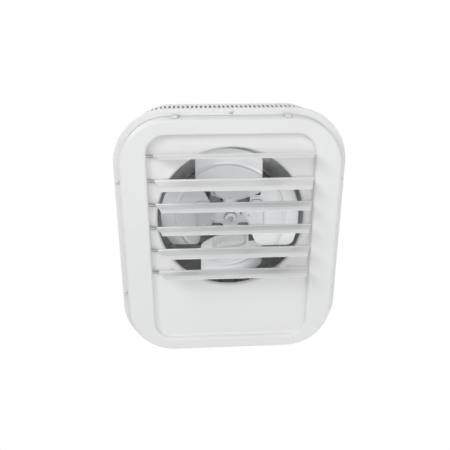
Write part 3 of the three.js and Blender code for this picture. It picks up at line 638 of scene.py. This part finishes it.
PLATE_SIDE, PLATE_R = 12.0, 2.0
RIB_X, RIB_W, RIB_DEPTH, RIB_END = 135.0, 5.0, 2.4, 87.0
KEYHOLE_X, KEYHOLE_Y = 110.0, 140.0
KEYHOLE_R, KEYHOLE_SLOT, KEYHOLE_RUN = 6.0, 3.0, 12.0
CABLE_R, CABLE_Y = 11.0, 172.0
SCREW_HOLE = 2.2


def keyhole_ring(x, y, steps=20):
    """Round end towards the wiring space, slot towards the far end."""
    start = math.degrees(math.asin(KEYHOLE_SLOT / KEYHOLE_R))
    ring = []
    for i in range(steps + 1):
        a = math.radians(-90 + start + (360 - 2 * start) * i / steps)
        ring.append((x + KEYHOLE_R * math.cos(a), y + KEYHOLE_R * math.sin(a), 0.0))
    ring.append((x - KEYHOLE_SLOT, y - KEYHOLE_RUN, 0.0))
    ring.append((x + KEYHOLE_SLOT, y - KEYHOLE_RUN, 0.0))
    return ring


def back_plate():
    """A shallow tray with two pressed ribs, four keyholes, the cable's hole and screw holes."""
    build = Build()
    section = [(0, -PLATE_SIDE)] + arc(PLATE_R, -PLATE_R, PLATE_R, 180, 90, 4)
    rings = build.rings([outline(i, z) for i, z in section])
    group = [rings[-1]]
    for sx in (-1, 1):
        for sy in (-1, 1):
            group.append(build.ring(keyhole_ring(sx * KEYHOLE_X, sy * KEYHOLE_Y)))
        sizes = (RIB_W, -RIB_END, RIB_END, RIB_W - 0.01, 6)
        trough = [[(x + sx * RIB_X, y, z) for x, y, z in outline(i, depth, *sizes)]
                  for i, depth in ((0.0, 0.0), (0.9, -0.7), (1.8, -RIB_DEPTH + 0.4),
                                   (2.6, -RIB_DEPTH))]
        made = build.rings(trough)
        group.append(made[0])
        build.cap(made[-1])
    group.append(build.ring(circle(CABLE_R, 0.0, 0.0, CABLE_Y, 40)))
    for name in ("bracket_screw_left", "bracket_screw_right", "bulkhead_screw_left",
                 "bulkhead_screw_right", "ground_screw"):
        low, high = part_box(name)
        middle = (low + high) / 2 / MM
        group.append(build.ring(circle(SCREW_HOLE, 0.0, middle.x, middle.y, 16)))
    on_plate = (0, 60, 0)
    return mesh_of("back_plate", build, (on_plate, (0, 0, 1)), PLATE, fill=[group], weld=False)


piece("back_plate_skin", back_plate(), "housing", "zinc", ["back_plate"],
      material="galvanised")

# -------- louvers

RECESS_WALL = RECESS - LIP_R
SPRING_ROOM = 11.2  # from the recess's left wall to the louver, less a gap
LOUVER_LEFT = -RECESS_WALL + (SPRING_ROOM + GAP)
LOUVER_RIGHT = RECESS_WALL - 2 * GAP
LOUVER_SHEET = 1.0
FLAT, LIP, BEND = 29.6, 8.9, 22.7
BEND_SOFT = 1.6  # from the crease's middle to where its rounding starts
HEM = 2.3
CHAMFER = 10.0  # how far the ends are cut back at the lip
ROD_R, ROD_TIP = 1.5, 0.7
COIL_R, WIRE_R, COIL_TURNS = 2.3, 0.42, 8.5


def louver_mesh():
    """A rolled hem round the rod, a flat, a soft crease and a lip, cut back at both ends."""
    mid, bend, hem_steps, bend_steps = HEM - LOUVER_SHEET / 2, math.radians(BEND), 14, 5
    line = []
    for i in range(hem_steps):
        a = math.radians(60 - 330 * i / hem_steps)
        line.append((mid * math.cos(a), mid * math.sin(a)))
    line += [(0.0, -mid - 0.4), (0.0, -FLAT + BEND_SOFT)]
    radius = BEND_SOFT / math.tan(bend / 2)
    for i in range(1, bend_steps + 1):
        a = bend * i / bend_steps
        line.append((radius * (1 - math.cos(a)), -FLAT + BEND_SOFT - radius * math.sin(a)))
    line.append((LIP * math.sin(bend), -FLAT - LIP * math.cos(bend)))
    build = Build()
    rows = []
    for y, z in line:
        back = max(0.0, CHAMFER * (-z - HEM) / (FLAT + LIP - HEM))
        rows.append([(LOUVER_LEFT + back, y, z), (LOUVER_RIGHT - back, y, z)])
    build.rings(rows, closed_ring=False)
    mesh = mesh_of("louver", build, ((0, 0, -FLAT / 2), (0, -1, 0)))
    return modified(mesh, centred_sheet)


def centred_sheet(modifiers):
    """Sheet to both sides of the surface, with eased edges."""
    m = modifiers.new("sheet", "SOLIDIFY")
    m.thickness = LOUVER_SHEET * MM
    m.offset = 0.0
    m.use_even_offset = True
    soften(modifiers, 0.28, 50.0)


def rod_mesh():
    """The rod that a louver turns on, through both walls of the recess."""
    end, taper = RECESS_WALL + SHEET + 2.0, 0.8
    stations = [(-end, ROD_TIP), (-end + taper, ROD_R), (end - taper, ROD_R), (end, ROD_TIP)]
    return tube("rod", [(x, 0, 0) for x, _ in stations], [r for _, r in stations], 20)


def spring_mesh():
    """The coil between the recess's left wall and the louver."""
    start, end = -RECESS_WALL + GAP + WIRE_R, -RECESS_WALL + SPRING_ROOM - WIRE_R
    count = int(COIL_TURNS * 20)
    points = []
    for i in range(count + 1):
        a = 2 * math.pi * COIL_TURNS * i / count
        x = start + (end - start) * i / count
        points.append((x, COIL_R * math.cos(a), COIL_R * math.sin(a)))
    return tube("spring", points, WIRE_R, 8, weld=False)


louver_shape, rod_shape, spring_shape = louver_mesh(), rod_mesh(), spring_mesh()
for i, tilt in enumerate(LOUVER_TILT, start=1):
    y = LOUVER_FIRST + LOUVER_PITCH * (i - 1)
    place = Matrix.Translation((0, y * MM, LOUVER_Z * MM))
    tilted = place @ Matrix.Rotation(math.radians(tilt), 4, "X")
    body = f"louver_{i}"
    piece(f"{body}_skin", placed(louver_shape, tilted), body, "louver_white", [body])
    piece(f"{body}_rod", placed(rod_shape, tilted), body, "steel")
    piece(f"{body}_coil_spring", placed(spring_shape, place), "housing", "steel",
          [f"louver_spring_{i}"])

# -------- fan

FAN_R = 115.0
QUARTERS = (0, 90, 180, 270)
# Blade: its straight sides, the shoulders beside the notch, and its root.
NEAR_SIDE, FAR_SIDE = 51.5, 58.5
NEAR_SHOULDER, FAR_SHOULDER = 44.5, 51.0
BLADE_ROOT, NEAR_ROOT, FAR_ROOT = 33.0, 25.5, 33.5
BLADE_R, SLIGHT_R = 9.0, 2.25
BLADE_FRONT, BLADE_SHEET, EDGE_GAP = 1.1, 1.2, 0.15
BEAD, BEAD_DEPTH = (87.0, 92.5), 0.9
BLADE_ROWS, BLADE_COLUMNS, SEARCH_STEPS = 110, 28, 240
# Spider: pads, necks that turn to the blades' pitch between fold and reach, and the middle.
PAD_HALF, PAD_REACH, PAD_SHOULDER = 30.3, 59.0, 35.2
NECK_HALF, NECK_REACH, NECK_FOLD = 11.5, 29.0, 24.4
SPIDER_SHEET, RAISED = 1.5, -2.3
EDGE_STEP = ((0.0, -0.8), (2.4, -0.8), (3.0, -1.0), (4.4, -2.1), (5.0, RAISED))  # inset, height
HUB_STEP = ((15.2, RAISED), (14.4, -2.6), (13.0, -3.1))  # radius, height
SMALL_HOLE = (17.6, -5.0, 1.7)  # x, y, radius
SPIDER_GRID = 2.3  # between the points inside the sheet
RIVETS = ((0.0, -30.8), (-15.5, -45.0), (15.5, -45.0))
# Hub and shaft.
HUB_R, HUB_LENGTH, HUB_BORE, HUB_FRONT = 9.6, 17.0, 3.5, FACE_Z + 14.0
SET_SCREW_Z, SHAFT_R = HUB_FRONT + 4.2, 3.2


def smooth_step(x, a, b):
    """From 0 at a to 1 at b."""
    t = min(1.0, max(0.0, (x - a) / (b - a)))
    return t * t * (3 - 2 * t)


def bead(x, a, b):
    """The height of a round-backed pressed rib between a and b, from 0 to 1."""
    if not a < x < b:
        return 0.0
    return math.sin(math.pi * (x - a) / (b - a)) ** 0.8


def rounded_polygon(corners, steps=6):
    """Points of a polygon of (x, y, rounding) corners, rounded as in the part."""
    points = []
    for i, (x, y, rounding) in enumerate(corners):
        corner = Vector((x, y))
        if not rounding:
            points.append(corner)
            continue
        before = Vector(corners[i - 1][:2])
        after = Vector(corners[(i + 1) % len(corners)][:2])
        start = corner + (before - corner).normalized() * rounding
        end = corner + (after - corner).normalized() * rounding
        for k in range(steps + 1):
            t = k / steps
            points.append(start * (1 - t) ** 2 + corner * 2 * t * (1 - t) + end * t * t)
    return points


def inside(points, x, y):
    """Whether (x, y) lies in the polygon."""
    hit = False
    for a, b in zip(points, points[1:] + points[:1]):
        if (a.y > y) != (b.y > y) and x < (b.x - a.x) * (y - a.y) / (b.y - a.y) + a.x:
            hit = not hit
    return hit


def blade_outline():
    """The edge of the blade that points to -Y, with a notch at its root on the -X side."""
    def on_tip(x, rounding=0.0):
        return (x, -math.sqrt(FAN_R ** 2 - x ** 2), rounding)

    return rounded_polygon([
        on_tip(-FAR_SIDE, BLADE_R), *(on_tip(s / 5 * NEAR_SIDE) for s in range(-4, 5)),
        on_tip(NEAR_SIDE, BLADE_R), (NEAR_SIDE, -NEAR_SHOULDER, BLADE_R),
        (NEAR_ROOT, -BLADE_ROOT, SLIGHT_R), (-FAR_ROOT, -BLADE_ROOT, SLIGHT_R),
        (-FAR_ROOT, -FAR_SHOULDER, SLIGHT_R), (-FAR_SIDE, -FAR_SHOULDER, BLADE_R)])


def edge_angle(shape, r, a, b):
    """Where an arc of radius r crosses the edge of the shape, between the angles a and b."""
    first = inside(shape, r * math.sin(a), -r * math.cos(a))
    for _ in range(10):
        middle = (a + b) / 2
        if inside(shape, r * math.sin(middle), -r * math.cos(middle)) == first:
            a = middle
        else:
            b = middle
    return (a + b) / 2


def blade_mesh():
    """A polar sheet cut to the blade's outline, with a pressed rib round the fan's axis."""
    shape = blade_outline()
    root = BLADE_ROOT + EDGE_GAP
    depth = FAN_R - EDGE_GAP - root
    turns = [math.radians(-100 + 200 * k / SEARCH_STEPS) for k in range(SEARCH_STEPS + 1)]
    build = Build()
    rows = []
    for r in (root + depth * i / BLADE_ROWS for i in range(BLADE_ROWS + 1)):
        spans = []
        start = None
        for before, a in zip(turns, turns[1:]):
            on = inside(shape, r * math.sin(a), -r * math.cos(a))
            if on and start is None:
                start = edge_angle(shape, r, before, a)
            if start is not None and not on:
                spans.append((start, edge_angle(shape, r, before, a)))
                start = None
        if not spans:
            continue
        low, high = max(spans, key=lambda s: s[1] - s[0])
        row = []
        for k in range(BLADE_COLUMNS + 1):
            a = low + (high - low) * k / BLADE_COLUMNS
            edge = smooth_step(min(k, BLADE_COLUMNS - k), 0, 1.5)
            row.append((r * math.sin(a), -r * math.cos(a),
                        BLADE_FRONT - BEAD_DEPTH * bead(r, *BEAD) * edge))
        rows.append(row)
    build.rings(rows, closed_ring=False)
    return mesh_of("blade", build, ((0, -75, BLADE_FRONT), (0, 0, -1)), BLADE_SHEET)


def pitched(mesh, quarter):
    """The mesh tilted by the blades' pitch and turned to its place round the axis."""
    return placed(mesh, Matrix.Translation((0, FAN_Y * MM, SPIDER_Z * MM))
                  @ Matrix.Rotation(math.radians(quarter), 4, "Z")
                  @ Matrix.Rotation(math.radians(PITCH), 4, "Y"))


def spider_line(inset):
    """The spider's edge, or a line that runs inside it."""
    neck, pad = NECK_HALF - 0.6 * inset, PAD_HALF - inset
    reach, shoulder = NECK_REACH + 0.25 * inset, PAD_SHOULDER + 0.2 * inset
    end = PAD_REACH - 1.1 * inset
    arm = [(-neck, -NECK_FOLD, 0), (-neck, -reach, 2), (-pad, -shoulder, 4.5), (-pad, -end, 9),
           (pad, -end, 9), (pad, -shoulder, 4.5), (neck, -reach, 2), (neck, -NECK_FOLD, 0),
           (neck, -neck, 7.5 + 0.6 * inset)]
    corners = []
    for quarter in QUARTERS:
        turn = Matrix.Rotation(math.radians(quarter), 2)
        corners += [(*(turn @ Vector((x, y))), rounding) for x, y, rounding in arm]
    return rounded_polygon(corners, 8)


def on_spider(x, y, z):
    """Where a point of the flat spider comes to lie once the arms are turned to their pitch."""
    quarter = (0 if y < 0 else 180) if abs(y) >= abs(x) else (90 if x > 0 else 270)
    turn = Matrix.Rotation(math.radians(quarter), 3, "Z")
    along = max(abs(x), abs(y))
    share = min(1.0, max(0.0, (along - NECK_FOLD) / (NECK_REACH - NECK_FOLD)))
    pitch = Matrix.Rotation(math.radians(PITCH * share), 3, "Y")
    point = turn @ pitch @ turn.inverted() @ Vector((x, y, z))
    return point + Vector((0, FAN_Y, SPIDER_Z))


def spider_mesh():
    """One pressed sheet: a flat middle, four necks and four pads, raised inside its edges and
    once more round the hub."""
    def round_line(radius, x, y, count):
        return [Vector(p[:2]) for p in circle(radius, 0, x, y, count)]

    lines = [(spider_line(inset), z) for inset, z in EDGE_STEP]
    edge, inner = lines[0][0], lines[-1][0]
    hole_x, hole_y, hole_r = SMALL_HOLE
    holes = ((0.0, 0.0, HUB_R + GAP), SMALL_HOLE)
    lines += [(round_line(r, 0, 0, 72), z) for r, z in (*HUB_STEP, (HUB_R + GAP, -3.2))]
    lines.append((round_line(hole_r, hole_x, hole_y, 20), RAISED))
    points, heights, edges = [], [], []
    for line, z in lines:
        start = len(points)
        points += line
        heights += [z] * len(line)
        edges += [(start + i, start + (i + 1) % len(line)) for i in range(len(line))]
    reach, clear = int(PAD_REACH / SPIDER_GRID), 0.9
    around = ((clear, 0), (-clear, 0), (0, clear), (0, -clear))
    for i in range(-reach, reach + 1):
        for j in range(-reach, reach + 1):
            x, y = i * SPIDER_GRID, j * SPIDER_GRID
            if (all(inside(inner, x + dx, y + dy) for dx, dy in around)
                    and math.hypot(x, y) > 16
                    and math.hypot(x - hole_x, y - hole_y) > hole_r + clear):
                points.append(Vector((x, y)))
                heights.append(RAISED)
    made, _, faces, origins, _, _ = delaunay_2d_cdt(points, edges, [], 0, 1e-4)
    build = Build()
    build.verts = [on_spider(p.x, p.y, heights[origin[0]]) for p, origin in zip(made, origins)]
    for face in faces:
        centre = sum((made[i] for i in face), Vector((0, 0))) / len(face)
        open_here = any(math.hypot(centre.x - x, centre.y - y) < r for x, y, r in holes)
        if inside(edge, centre.x, centre.y) and not open_here:
            build.faces.append(tuple(face))
    return mesh_of("spider", build, lambda centre: Vector((0, 0, -1)), SPIDER_SHEET)


def rivet_mesh(x, y):
    """A low round head on a pad."""
    build = Build()
    profile = [(2.3, 0.0), (2.25, -0.45), (1.8, -0.95), (1.0, -1.25), (0.4, -1.3)]
    rings = build.rings([circle(r, RAISED + z, x, y, 20) for r, z in profile])
    build.cap(rings[-1])
    build.cap(rings[0])
    return mesh_of("rivet", build)


blade_shape = blade_mesh()
rivets = joined("rivets", [rivet_mesh(x, y) for x, y in RIVETS])
for i, quarter in enumerate(QUARTERS, start=1):
    piece(f"fan_blade_{i}_skin", pitched(blade_shape, quarter), "fan", "aluminium",
          [f"fan_blade_{i}"])
    piece(f"blade_rivets_{i}", pitched(rivets, quarter), "fan", "aluminium")

piece("fan_spider_skin", spider_mesh(), "fan", "zinc", ["fan_spider"])

hub = lathe("hub", [(r, HUB_FRONT + z) for r, z in
                    ((4.6, 0.0), (8.7, 0.0), (9.3, 0.2), (HUB_R, 0.8), (HUB_R, HUB_LENGTH),
                     (HUB_BORE, HUB_LENGTH), (HUB_BORE, 1.1))], 64)
piece("fan_hub_skin", hub, "fan", "zinc", ["fan_hub"])

set_screw = tube("set_screw", [(x, FAN_Y, SET_SCREW_Z) for x in (9.2, 10.1, 10.4)],
                 [2.3, 2.3, 1.9], 20)
piece("hub_set_screw", set_screw, "fan", "steel")

low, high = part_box("motor_shaft")
shaft_front, shaft_back = low.z / MM, high.z / MM
shaft = tube("shaft", [(0, FAN_Y, z) for z in (shaft_front, shaft_front + 0.5, shaft_back)],
             [SHAFT_R - 0.6, SHAFT_R, SHAFT_R], 32)
piece("motor_shaft_skin", shaft, "fan", "steel", ["motor_shaft"])

# -------- motor

MOTOR_R, MOTOR_SIDES = 42.0, 96
MOTOR_FRONT = FACE_Z + 46.0
STATOR_FRONT = MOTOR_FRONT + 9.3
STATOR_LENGTH, STATOR_BORE = 30.0, 20.3
STATOR_BACK = STATOR_FRONT + STATOR_LENGTH
MOTOR_BACK = STATOR_BACK + 9.3
LAMINATIONS = 25
BELL_SHEET = 1.4
WINDOW_RING = 6  # the step of a bell's profile that its windows are in


def bell_mesh(name, closed, way):
    """An end bell with eight air windows, closed at z and open towards way (1 or -1). The
    front one has a bearing boss."""
    profile = [(3.6, -1.6), (6.6, -1.6), (7.4, -1.2), (8.0, 0.0), (12.0, 0.2), (19.0, 0.3),
               (25.0, 0.4), (32.0, 0.5), (34.5, 0.7), (37.5, 1.6), (39.8, 3.2), (41.3, 5.4),
               (41.7, 7.4), (41.7, 9.0)]
    build = Build()
    rings = [build.ring(circle(r, closed + way * (z if way > 0 else max(z, 0.0)),
                               0, FAN_Y, MOTOR_SIDES)) for r, z in profile]
    for k, (a, b) in enumerate(zip(rings, rings[1:])):
        for i in range(MOTOR_SIDES):
            j = (i + 1) % MOTOR_SIDES
            if k == WINDOW_RING and 3 <= i % 12 <= 8:
                continue
            build.faces.append((a[i], a[j], b[j], b[i]))
    on_bell = (0, FAN_Y + 15, closed)
    return mesh_of(name, build, (on_bell, (0, 0, -way)), BELL_SHEET)


for name, z, way in (("motor_front_bell", MOTOR_FRONT, 1), ("motor_rear_bell", MOTOR_BACK, -1)):
    piece(name + "_skin", bell_mesh(name, z, way), "housing", "motor_grey", [name])

profile = [(STATOR_BORE, STATOR_FRONT)]
for i in range(LAMINATIONS):
    z = STATOR_FRONT + STATOR_LENGTH * i / LAMINATIONS
    profile += [(MOTOR_R, z), (MOTOR_R, z + 0.75), (MOTOR_R - 0.5, z + 0.8),
                (MOTOR_R - 0.5, z + 1.15)]
profile += [(MOTOR_R - 0.5, STATOR_BACK), (STATOR_BORE, STATOR_BACK)]
piece("motor_stator_skin", lathe("stator", profile, MOTOR_SIDES), "housing", "steel",
      ["motor_stator"])

for name, z in (("motor_winding_front", STATOR_FRONT - 3.6),
                ("motor_winding_rear", STATOR_BACK + 3.6)):
    profile = [(29.0 + 6.0 * x, z + 3.0 * y) for x, y, _ in circle(1.0, 0, count=16)]
    piece(name, lathe(name, profile, 72), "housing", None, material="copper")

# -------- heating elements


def through(points, per_segment=12):
    """A centripetal curve through points, as the part draws it."""
    points = [Vector(p) for p in points]
    ends = [points[0] * 2 - points[1]] + points + [points[-1] * 2 - points[-2]]
    line = []
    for p0, p1, p2, p3 in zip(ends, ends[1:], ends[2:], ends[3:]):
        d0, d1, d2 = ((b - a).length ** 0.5 for a, b in ((p0, p1), (p1, p2), (p2, p3)))
        t1 = ((p1 - p0) / d0 - (p2 - p0) / (d0 + d1) + (p2 - p1) / d1) * d1
        t2 = ((p2 - p1) / d1 - (p3 - p1) / (d1 + d2) + (p3 - p2) / d2) * d1
        for k in range(per_segment):
            t = k / per_segment
            line.append(p1 + t1 * t + (p1 * -3 + p2 * 3 - t1 * 2 - t2) * t * t
                        + (p1 * 2 - p2 * 2 + t1 + t2) * t ** 3)
    line.append(points[-1])
    return line


def evenly(line, step):
    """Points at equal steps along a line."""
    made, carry = [line[0]], 0.0
    for a, b in zip(line, line[1:]):
        length = (b - a).length
        while carry + length >= step:
            share = (step - carry) / length
            a = a.lerp(b, share)
            length = (b - a).length
            made.append(a)
            carry = 0.0
        carry += length
    return made


BULKHEAD_Y = 112.0
ELEMENT_END = BULKHEAD_Y + SHEET + 14.0
FIN_END, FIN_STEP = BULKHEAD_Y - 14.0, 0.85
TUBE_R, FIN_R = 3.1, 4.3
SUPPORT_AT = (45, 135, -90)  # degrees round the fan's axis


def element_mesh(name, radius, leg_half):
    """A finned tube round the fan's axis, with two legs through the partition. It has no fins
    there and where it lies in a support."""
    bend, steps = 10.0, 16
    opening = math.asin((leg_half + bend) / radius)
    foot = FAN_Y + radius * math.cos(opening) + bend
    around = []
    for i in range(steps + 1):
        a = opening + (2 * math.pi - 2 * opening) * i / steps
        around.append((radius * math.sin(a), FAN_Y + radius * math.cos(a), COIL_Z))

    def leg(side):
        return [(side * leg_half, y, COIL_Z)
                for y in (ELEMENT_END, (ELEMENT_END + foot) / 2, foot)]

    fine = evenly(through(leg(1) + around + leg(-1)[::-1]), FIN_STEP)
    radii = []
    for i, p in enumerate(fine):
        turned = math.atan2(p.y - FAN_Y, p.x)
        bare = p.y > FIN_END or any(abs(turned - math.radians(a)) < 0.03 for a in SUPPORT_AT)
        radii.append(TUBE_R if bare or i % 4 in (0, 1) else FIN_R)
    return tube(name, fine, radii, 14, weld=False)


for name, radius, leg_half in (("heating_element_inner", 62.0, 14.0),
                               ("heating_element_outer", 88.0, 36.0)):
    piece(name + "_skin", element_mesh(name, radius, leg_half), "housing", "element_steel",
          [name], sharp=50)

# -------- screws


def screw_shape(length):
    """A pan head with a cross recess; the head's front is at z = 0 and looks down."""
    profile = [(0.05, 0.0), (1.4, 0.04), (2.4, 0.28), (3.1, 0.75), (3.5, 1.35), (3.6, 1.85),
               (3.5, 2.0), (1.9, 2.0), (1.9, length - 0.6), (1.4, length), (0.05, length)]
    build = Build()
    rings = build.rings([circle(r, z, count=32) for r, z in profile])
    build.cap(rings[0])
    build.cap(rings[-1])
    head = mesh_of("screw", build)
    cross = Build()
    for c, s in ((1, 0), (0, 1)):
        points = []
        for z, half, wide in ((-0.5, 1.9, 0.42), (1.25, 0.8, 0.3)):
            points.append([(x * c - y * s, x * s + y * c, z) for x, y in
                           ((-half, -wide), (half, -wide), (half, wide), (-half, wide))])
        made = cross.rings(points)
        cross.cap(made[0])
        cross.cap(made[1])
    tool = bpy.data.objects.new("cross", mesh_of("cross", cross, weld=False))
    scene.collection.objects.link(tool)

    def sink(modifiers):
        m = modifiers.new("cross", "BOOLEAN")
        m.operation = "DIFFERENCE"
        m.object = tool
        m.solver = "EXACT"
        m.use_self = True

    result = modified(head, sink)
    bpy.data.objects.remove(tool)
    return result


random.seed(6)
for node_name in sorted(nodes):
    if "screw" not in node_name:
        continue
    low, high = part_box(node_name)
    shape = screw_shape((high.z - low.z) / MM)
    spin = Matrix.Rotation(random.uniform(0, math.pi / 2), 4, "Z")
    middle = ((low.x + high.x) / 2, (low.y + high.y) / 2, low.z)
    mesh = placed(shape, Matrix.Translation(middle) @ spin)
    piece(node_name + "_skin", mesh, "housing", "zinc", [node_name], sharp=30)

# -------- pieces softened as they are


def softened(node, width):
    """The node's own shape with its edges eased."""
    bm = bmesh.new()
    bm.from_mesh(nodes[node].data)
    bmesh.ops.remove_doubles(bm, verts=bm.verts[:], dist=MERGE)
    bmesh.ops.dissolve_limit(bm, angle_limit=math.radians(1.0), verts=bm.verts[:],
                             edges=bm.edges[:])
    mesh = bpy.data.meshes.new(node)
    bm.to_mesh(mesh)
    bm.free()
    piece(node + "_skin", mesh, NODE_BODY[node], NODE_SLOT[node], [node], bevel=width)


for node_name, width in (
        ("motor_bracket", 0.35), ("wiring_bulkhead", 0.25), ("element_support_1", 0.2),
        ("element_support_2", 0.2), ("element_support_3", 0.2), ("terminal_block", 0.6),
        ("fan_relay", 0.9), ("limit_thermostat", 0.5), ("cable_grommet", 0.4),
        ("panel_post_left", 0.4), ("panel_post_right", 0.4), ("hook_clip_left", 0.7),
        ("hook_clip_right", 0.7)):
    softened(node_name, width)

# -------- floor, world and lamps


def seen_ray(tree):
    """1 where the camera sees the surface, by itself or in metal or glass."""
    path = tree.nodes.new("ShaderNodeLightPath")
    value = path.outputs["Is Camera Ray"]
    for name in ("Is Glossy Ray", "Is Transmission Ray"):
        larger = tree.nodes.new("ShaderNodeMath")
        larger.operation = "MAXIMUM"
        tree.links.new(value, larger.inputs[0])
        tree.links.new(path.outputs[name], larger.inputs[1])
        value = larger.outputs[0]
    return value


GROUND, GROUND_Z = 60.0, -2.3  # metres: half the floor's width, and its height
floor_mesh = bpy.data.meshes.new("floor")
floor_mesh.from_pydata([(x * GROUND, y * GROUND, GROUND_Z) for x, y in
                        ((-1, -1), (1, -1), (1, 1), (-1, 1))], [], [(0, 1, 2, 3)])
floor = bpy.data.objects.new("floor", floor_mesh)
scene.collection.objects.link(floor)
floor_look = bpy.data.materials.new("floor")
floor_look.use_nodes = True
tree = floor_look.node_tree
matt = tree.nodes["Principled BSDF"]
matt.inputs["Base Color"].default_value = (0.86, 0.86, 0.86, 1)
matt.inputs["Roughness"].default_value = 0.9
glow = tree.nodes.new("ShaderNodeEmission")
lift = tree.nodes.new("ShaderNodeMath")
lift.operation = "MULTIPLY"
lift.inputs[1].default_value = 0.5
both = tree.nodes.new("ShaderNodeAddShader")
tree.links.new(seen_ray(tree), lift.inputs[0])
tree.links.new(lift.outputs[0], glow.inputs["Strength"])
tree.links.new(matt.outputs[0], both.inputs[0])
tree.links.new(glow.outputs[0], both.inputs[1])
tree.links.new(both.outputs[0], tree.nodes["Material Output"].inputs["Surface"])
floor_mesh.materials.append(floor_look)

world = bpy.data.worlds.new("world")
scene.world = world
world.use_nodes = True
tree = world.node_tree
tree.nodes.clear()
out = tree.nodes.new("ShaderNodeOutputWorld")
mix = tree.nodes.new("ShaderNodeMixShader")
plain = tree.nodes.new("ShaderNodeBackground")
plain.inputs["Color"].default_value = (0.95, 0.97, 1.0, 1)
plain.inputs["Strength"].default_value = 0.42
shown = tree.nodes.new("ShaderNodeBackground")
shown.inputs["Color"].default_value = (1, 1, 1, 1)
shown.inputs["Strength"].default_value = 1.0
tree.links.new(seen_ray(tree), mix.inputs["Fac"])
tree.links.new(plain.outputs[0], mix.inputs[1])
tree.links.new(shown.outputs[0], mix.inputs[2])
tree.links.new(mix.outputs[0], out.inputs["Surface"])


def lamp(name, place, power, size):
    """A square lamp of size metres, turned towards the unit."""
    data = bpy.data.lights.new(name, "AREA")
    data.shape = "SQUARE"
    data.size = size
    data.energy = power
    obj = bpy.data.objects.new(name, data)
    target = Vector((0, 0, -0.08))
    obj.location = place
    obj.rotation_mode = "QUATERNION"
    obj.rotation_quaternion = (target - Vector(place)).to_track_quat("-Z", "Y")
    scene.collection.objects.link(obj)


lamp("key", (-1.2, -1.3, -1.3), 14.5, 0.8)
lamp("front", (0.25, -0.55, -2.0), 10.5, 2.2)
lamp("fill", (1.7, 0.5, -1.5), 5.0, 1.6)
lamp("near_end", (0.3, 1.8, -0.9), 4.0, 1.2)
lamp("above_left", (-1.3, -1.3, 1.5), 16.0, 1.4)
lamp("above_right", (1.5, 1.2, 1.4), 12.0, 1.4)

scene.view_settings.view_transform = "Standard"

bpy.context.view_layer.update()
